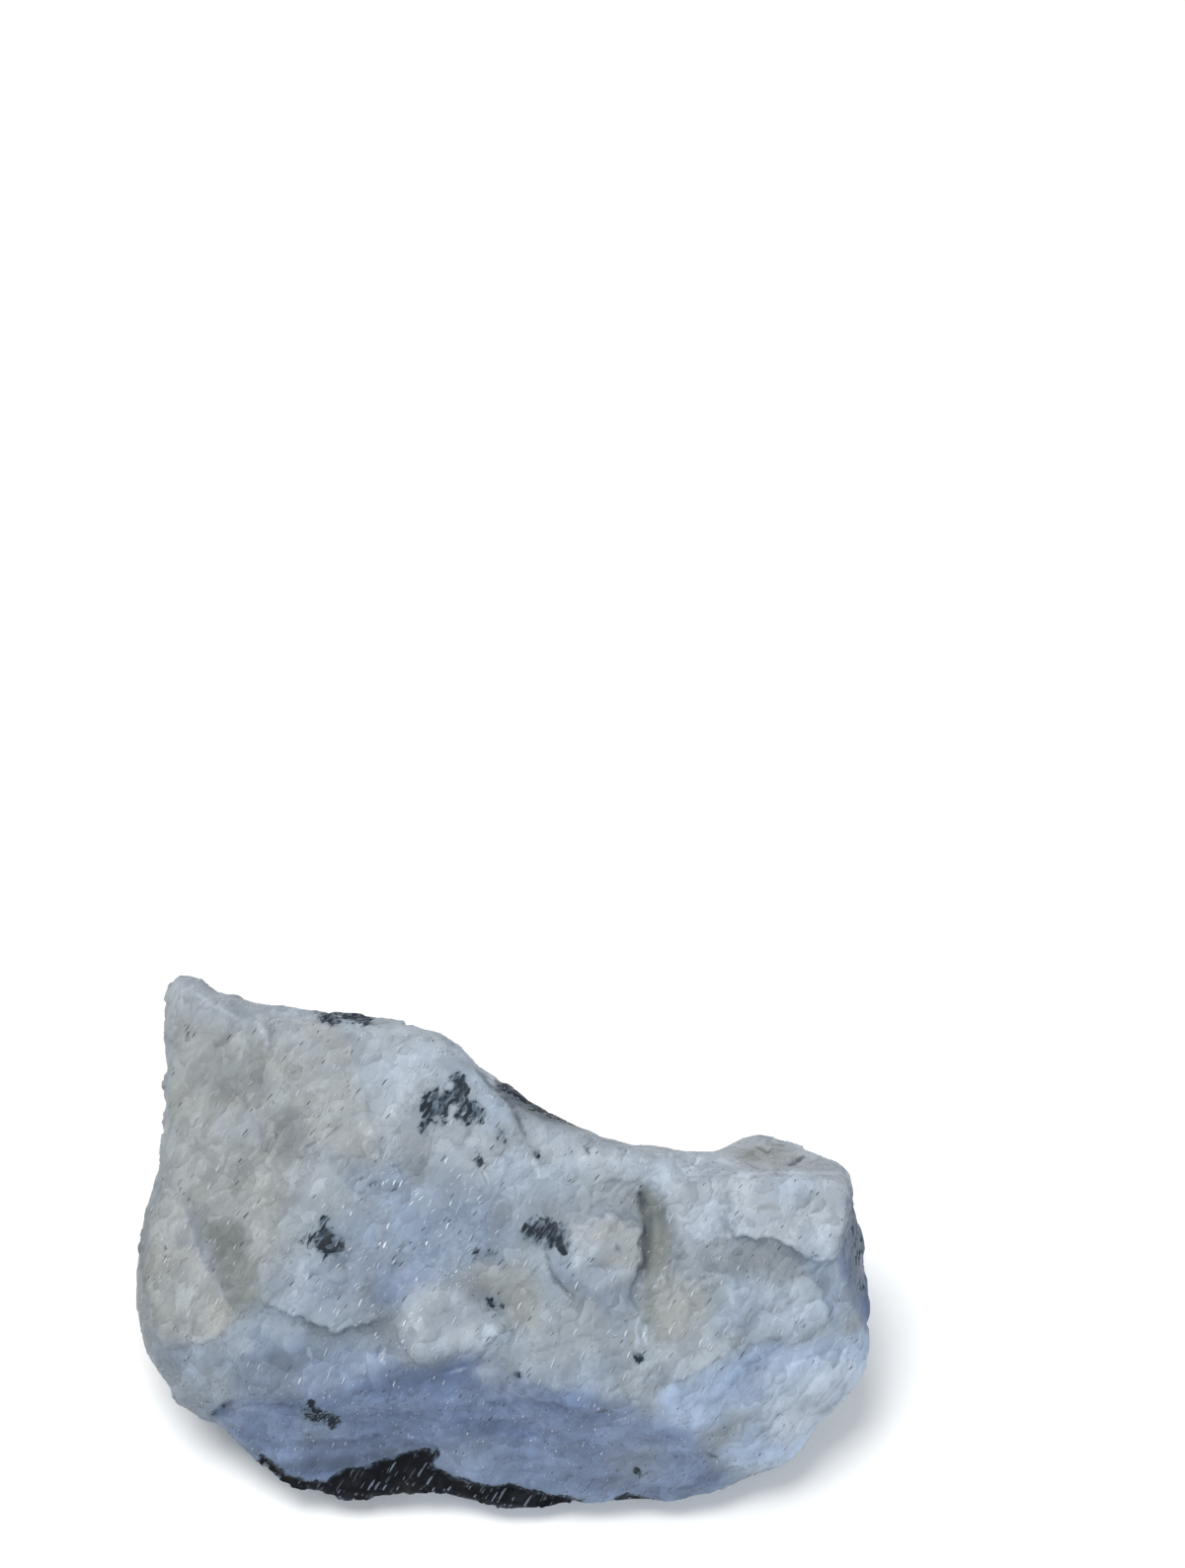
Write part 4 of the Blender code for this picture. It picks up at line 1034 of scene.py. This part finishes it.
def flaked(s, tinted):
    """Overlapping cleavage flakes of three sizes, with edges that wander a little.

    Gives the colour, the small flakes' and the chips' shades, and the height of the flakes' tilt.
    """
    wander = s.stretch(WANDER_SIZE, WANDER_SIZE)
    push = s.add("ShaderNodeTexNoise", Vector=wander, Scale=1.0, Detail=2.0)
    bent = s.add("ShaderNodeVectorMath", {"operation": "MULTIPLY_ADD"})
    s.feed(bent.inputs[0], push.outputs["Color"])
    bent.inputs[1].default_value = (WANDER_REACH * MM,) * 3
    s.feed(bent.inputs[2], s.object_space)
    bent = bent.outputs[0]
    broad, broad_slope = s.flakes(s.stretch(*BROAD_FLAKES, bent))
    small, small_slope = s.flakes(s.stretch(*SMALL_FLAKES, bent))
    chip, chip_slope = s.flakes(s.stretch(*CHIPS, bent))
    drift = s.spread(s.noise(s.stretch(*CHIP_DRIFT), detail=1), 0.42, 0.66)
    # The slopes light one side of each flake and chip and shade the other: painted light and shade of their
    # tilt. The bump tilts the broad and small flakes too.
    shade = s.math("MULTIPLY_ADD", broad, 0.15, 0.79)
    shade = s.math("MULTIPLY_ADD", broad_slope, 0.20, shade)
    shade = s.math("MULTIPLY_ADD", small, 0.19, shade)
    shade = s.math("MULTIPLY_ADD", small_slope, 0.24, shade)
    fine = s.math("MULTIPLY_ADD", chip, 0.16, s.math("MULTIPLY", chip_slope, 0.24))
    fine = s.math("MULTIPLY", fine, s.math("MULTIPLY_ADD", drift, 0.7, 0.3))
    colour = s.brighten(tinted, s.math("ADD", shade, fine))
    height = s.math("MULTIPLY", small_slope, 1.6)
    height = s.math("MULTIPLY_ADD", broad_slope, 2.0, height)
    return colour, small, chip, height


def specked(s, colour, glitter):
    """Painted glints with painted shade on their dim side, and dark pits. Gives the large glints too."""
    lights = []
    for grain, spots, glow_spread, painted_shade_strength, glint_tint in GLINTS:
        light, dim, pick = s.strokes(s.stretch(*grain), *spots)
        glow = s.math("MULTIPLY", s.spread(pick, *glow_spread), glitter)
        colour = s.brighten(colour, s.math("MULTIPLY_ADD", dim, painted_shade_strength, 1.0))
        colour = s.mix(s.math("MULTIPLY", light, glow), colour, glint_tint)
        lights.append(light)
    pit, _, pick = s.strokes(s.stretch(*PITS), 0.7, 0.27, 0.06)
    pit = s.math("MULTIPLY", pit, s.spread(pick, 0.0, 1.0, 0.40, 1.0))
    return s.mix(pit, colour, PIT_TINT), lights[0]


def overgrown(s, colour, dark, chip, glint):
    """Blue-black mineral in ragged flakes, with a grey halo and pale hairs and painted glints across it.

    Gives the colour, and where the mineral and the marks of painted shadow are.
    """
    ragged = s.noise(s.stretch(*RAGGED_EDGES), roughness=0.6)
    reach = s.math("MULTIPLY_ADD", chip, 0.30, dark)
    reach = s.math("MULTIPLY_ADD", ragged, 1.1, reach)
    growth_and_shadow = s.spread(reach, 1.08, 1.42, 0.0, 0.94)
    halo = s.spread(reach, 0.80, 1.20, 0.0, 0.40)
    colour = s.mix(halo, colour, HALO_TINT)
    deep = s.spread(s.math("MULTIPLY_ADD", chip, 0.7, reach), 1.42, 2.00)
    # The mineral's tints also paint the marks of painted shadow among the dark growths.
    mineral = s.mix(deep, RIM_TINT, CORE_TINT)
    solid = s.spread(dark, 0.93, 1.0)
    mineral = s.mix(solid, mineral, s.mix(chip, *BLACK_TINTS))
    growth_and_shadow = s.math("MAXIMUM", growth_and_shadow, solid)
    hair, _, pick = s.strokes(s.stretch(*HAIRS), 1.0, 0.62, 0.16)
    # The large painted glints show on the mineral as pale hairs too.
    hair = s.math("MULTIPLY", s.math("MAXIMUM", hair, glint), s.spread(pick, 0.0, 1.0, 0.15, 0.90))
    mineral = s.mix(hair, mineral, HAIR_TINT)
    return s.mix(growth_and_shadow, colour, mineral), growth_and_shadow


def feldspar():
    """Clouded, flaky feldspar. Its flakes tilt by less than the mesh shows, in the bump."""
    s = Shader("moonstone feldspar")
    tinted = s.add("ShaderNodeAttribute", {"attribute_name": "tint"}).outputs["Color"]
    dark = s.add("ShaderNodeAttribute", {"attribute_name": "dark"}).outputs["Fac"]
    glitter = s.add("ShaderNodeAttribute", {"attribute_name": "glitter"}).outputs["Fac"]
    colour, small, chip, height = flaked(s, tinted)
    colour, glint = specked(s, colour, glitter)
    colour, growth_and_shadow = overgrown(s, colour, dark, chip, glint)
    bump = s.add("ShaderNodeBump", Height=height, Strength=0.8, Distance=0.08 * MM)
    gloss = s.spread(small, 0.0, 1.0, 0.34, 0.52)
    s.feed(s.surface.inputs["Base Color"], colour)
    s.feed(s.surface.inputs["Normal"], bump.outputs["Normal"])
    s.feed(s.surface.inputs["Roughness"], s.math("MULTIPLY_ADD", growth_and_shadow, 0.2, gloss))
    s.surface.inputs["IOR"].default_value = 1.53
    s.surface.inputs["Specular IOR Level"].default_value = 0.13
    s.surface.inputs["Subsurface Weight"].default_value = 0.2
    s.surface.inputs["Subsurface Radius"].default_value = (1.0, 1.1, 1.3)
    s.surface.inputs["Subsurface Scale"].default_value = 0.6 * MM
    return s.material


def plain_floor():
    bpy.ops.object.select_all(action="DESELECT")
    bpy.ops.mesh.primitive_plane_add(size=4.0)
    floor = bpy.context.active_object
    floor.name = "floor"
    s = Shader("pale floor")
    s.surface.inputs["Base Color"].default_value = (0.93, 0.93, 0.93, 1)
    s.surface.inputs["Roughness"].default_value = 0.8
    floor.data.materials.append(s.material)


# Camera and light

# The frame's height at the stone, the camera's distance in metres, and the stone's middle and
# its place from the frame's centre, in millimetres of the sight plane.
FRAME_HEIGHT = 132.3 * MM
SIGHT_DISTANCE = 1.6
STONE_MIDDLE = (0.0, 22.4, 10.0)
STONE_FROM_FRAME_CENTRE = (-7.44, -38.5)


def set_camera():
    """Looks down at the photograph's angle, with the stone low in the left of the frame."""
    data = bpy.data.cameras.new("camera")
    camera = bpy.data.objects.new("camera", data)
    bpy.context.scene.collection.objects.link(camera)
    across, up, towards = STONE_MIDDLE
    middle = DRAWING_ORIGIN + (ACROSS * across + UP * up + TOWARDS * towards) * MM
    right, above = STONE_FROM_FRAME_CENTRE
    aim = middle - (ACROSS * right + UP * above) * MM
    camera.location = middle + TOWARDS * SIGHT_DISTANCE
    back = (camera.location - aim).normalized()
    right_hand = UP.cross(back).normalized()
    turned = Matrix((right_hand, back.cross(right_hand), back)).transposed()
    camera.rotation_euler = turned.to_euler()
    data.sensor_width = 36
    data.lens = 36 * SIGHT_DISTANCE / FRAME_HEIGHT
    data.clip_start = 0.05
    data.clip_end = 20
    bpy.context.scene.camera = camera


def area_light(name, place, size, power, colour):
    data = bpy.data.lights.new(name, "AREA")
    data.shape = "DISK"
    data.size = size
    data.energy = power
    data.color = colour
    light = bpy.data.objects.new(name, data)
    bpy.context.scene.collection.objects.link(light)
    light.location = place
    light.rotation_euler = (-Vector(place)).to_track_quat("-Z", "Y").to_euler()


def set_light():
    """One broad light overhead, and a weaker cool one from the viewer's side."""
    area_light("overhead", (-0.30, 0.10, 1.22), 0.9, 14.8, (1.0, 0.985, 0.955))
    area_light("cool fill", (0.45, -0.85, 0.85), 0.8, 6.5, (0.86, 0.93, 1.0))
    world = bpy.data.worlds.new("studio")
    world.use_nodes = True
    background = world.node_tree.nodes["Background"]
    background.inputs["Color"].default_value = (0.92, 0.96, 1.0, 1)
    background.inputs["Strength"].default_value = 0.40
    bpy.context.scene.world = world
    bpy.context.scene.view_settings.view_transform = "Standard"


def dress_stone():
    """Puts the fine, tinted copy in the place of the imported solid."""
    stone = fine_copy("moonstone", "broken_moonstone")
    shade = carve(stone)
    select_only(stone)
    bpy.ops.object.shade_smooth()
    tint(stone, shade)
    stone.data.materials.clear()
    stone.data.materials.append(feldspar())
    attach(stone, "root")
    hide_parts("moonstone")


dress_stone()
plain_floor()
set_camera()
set_light()
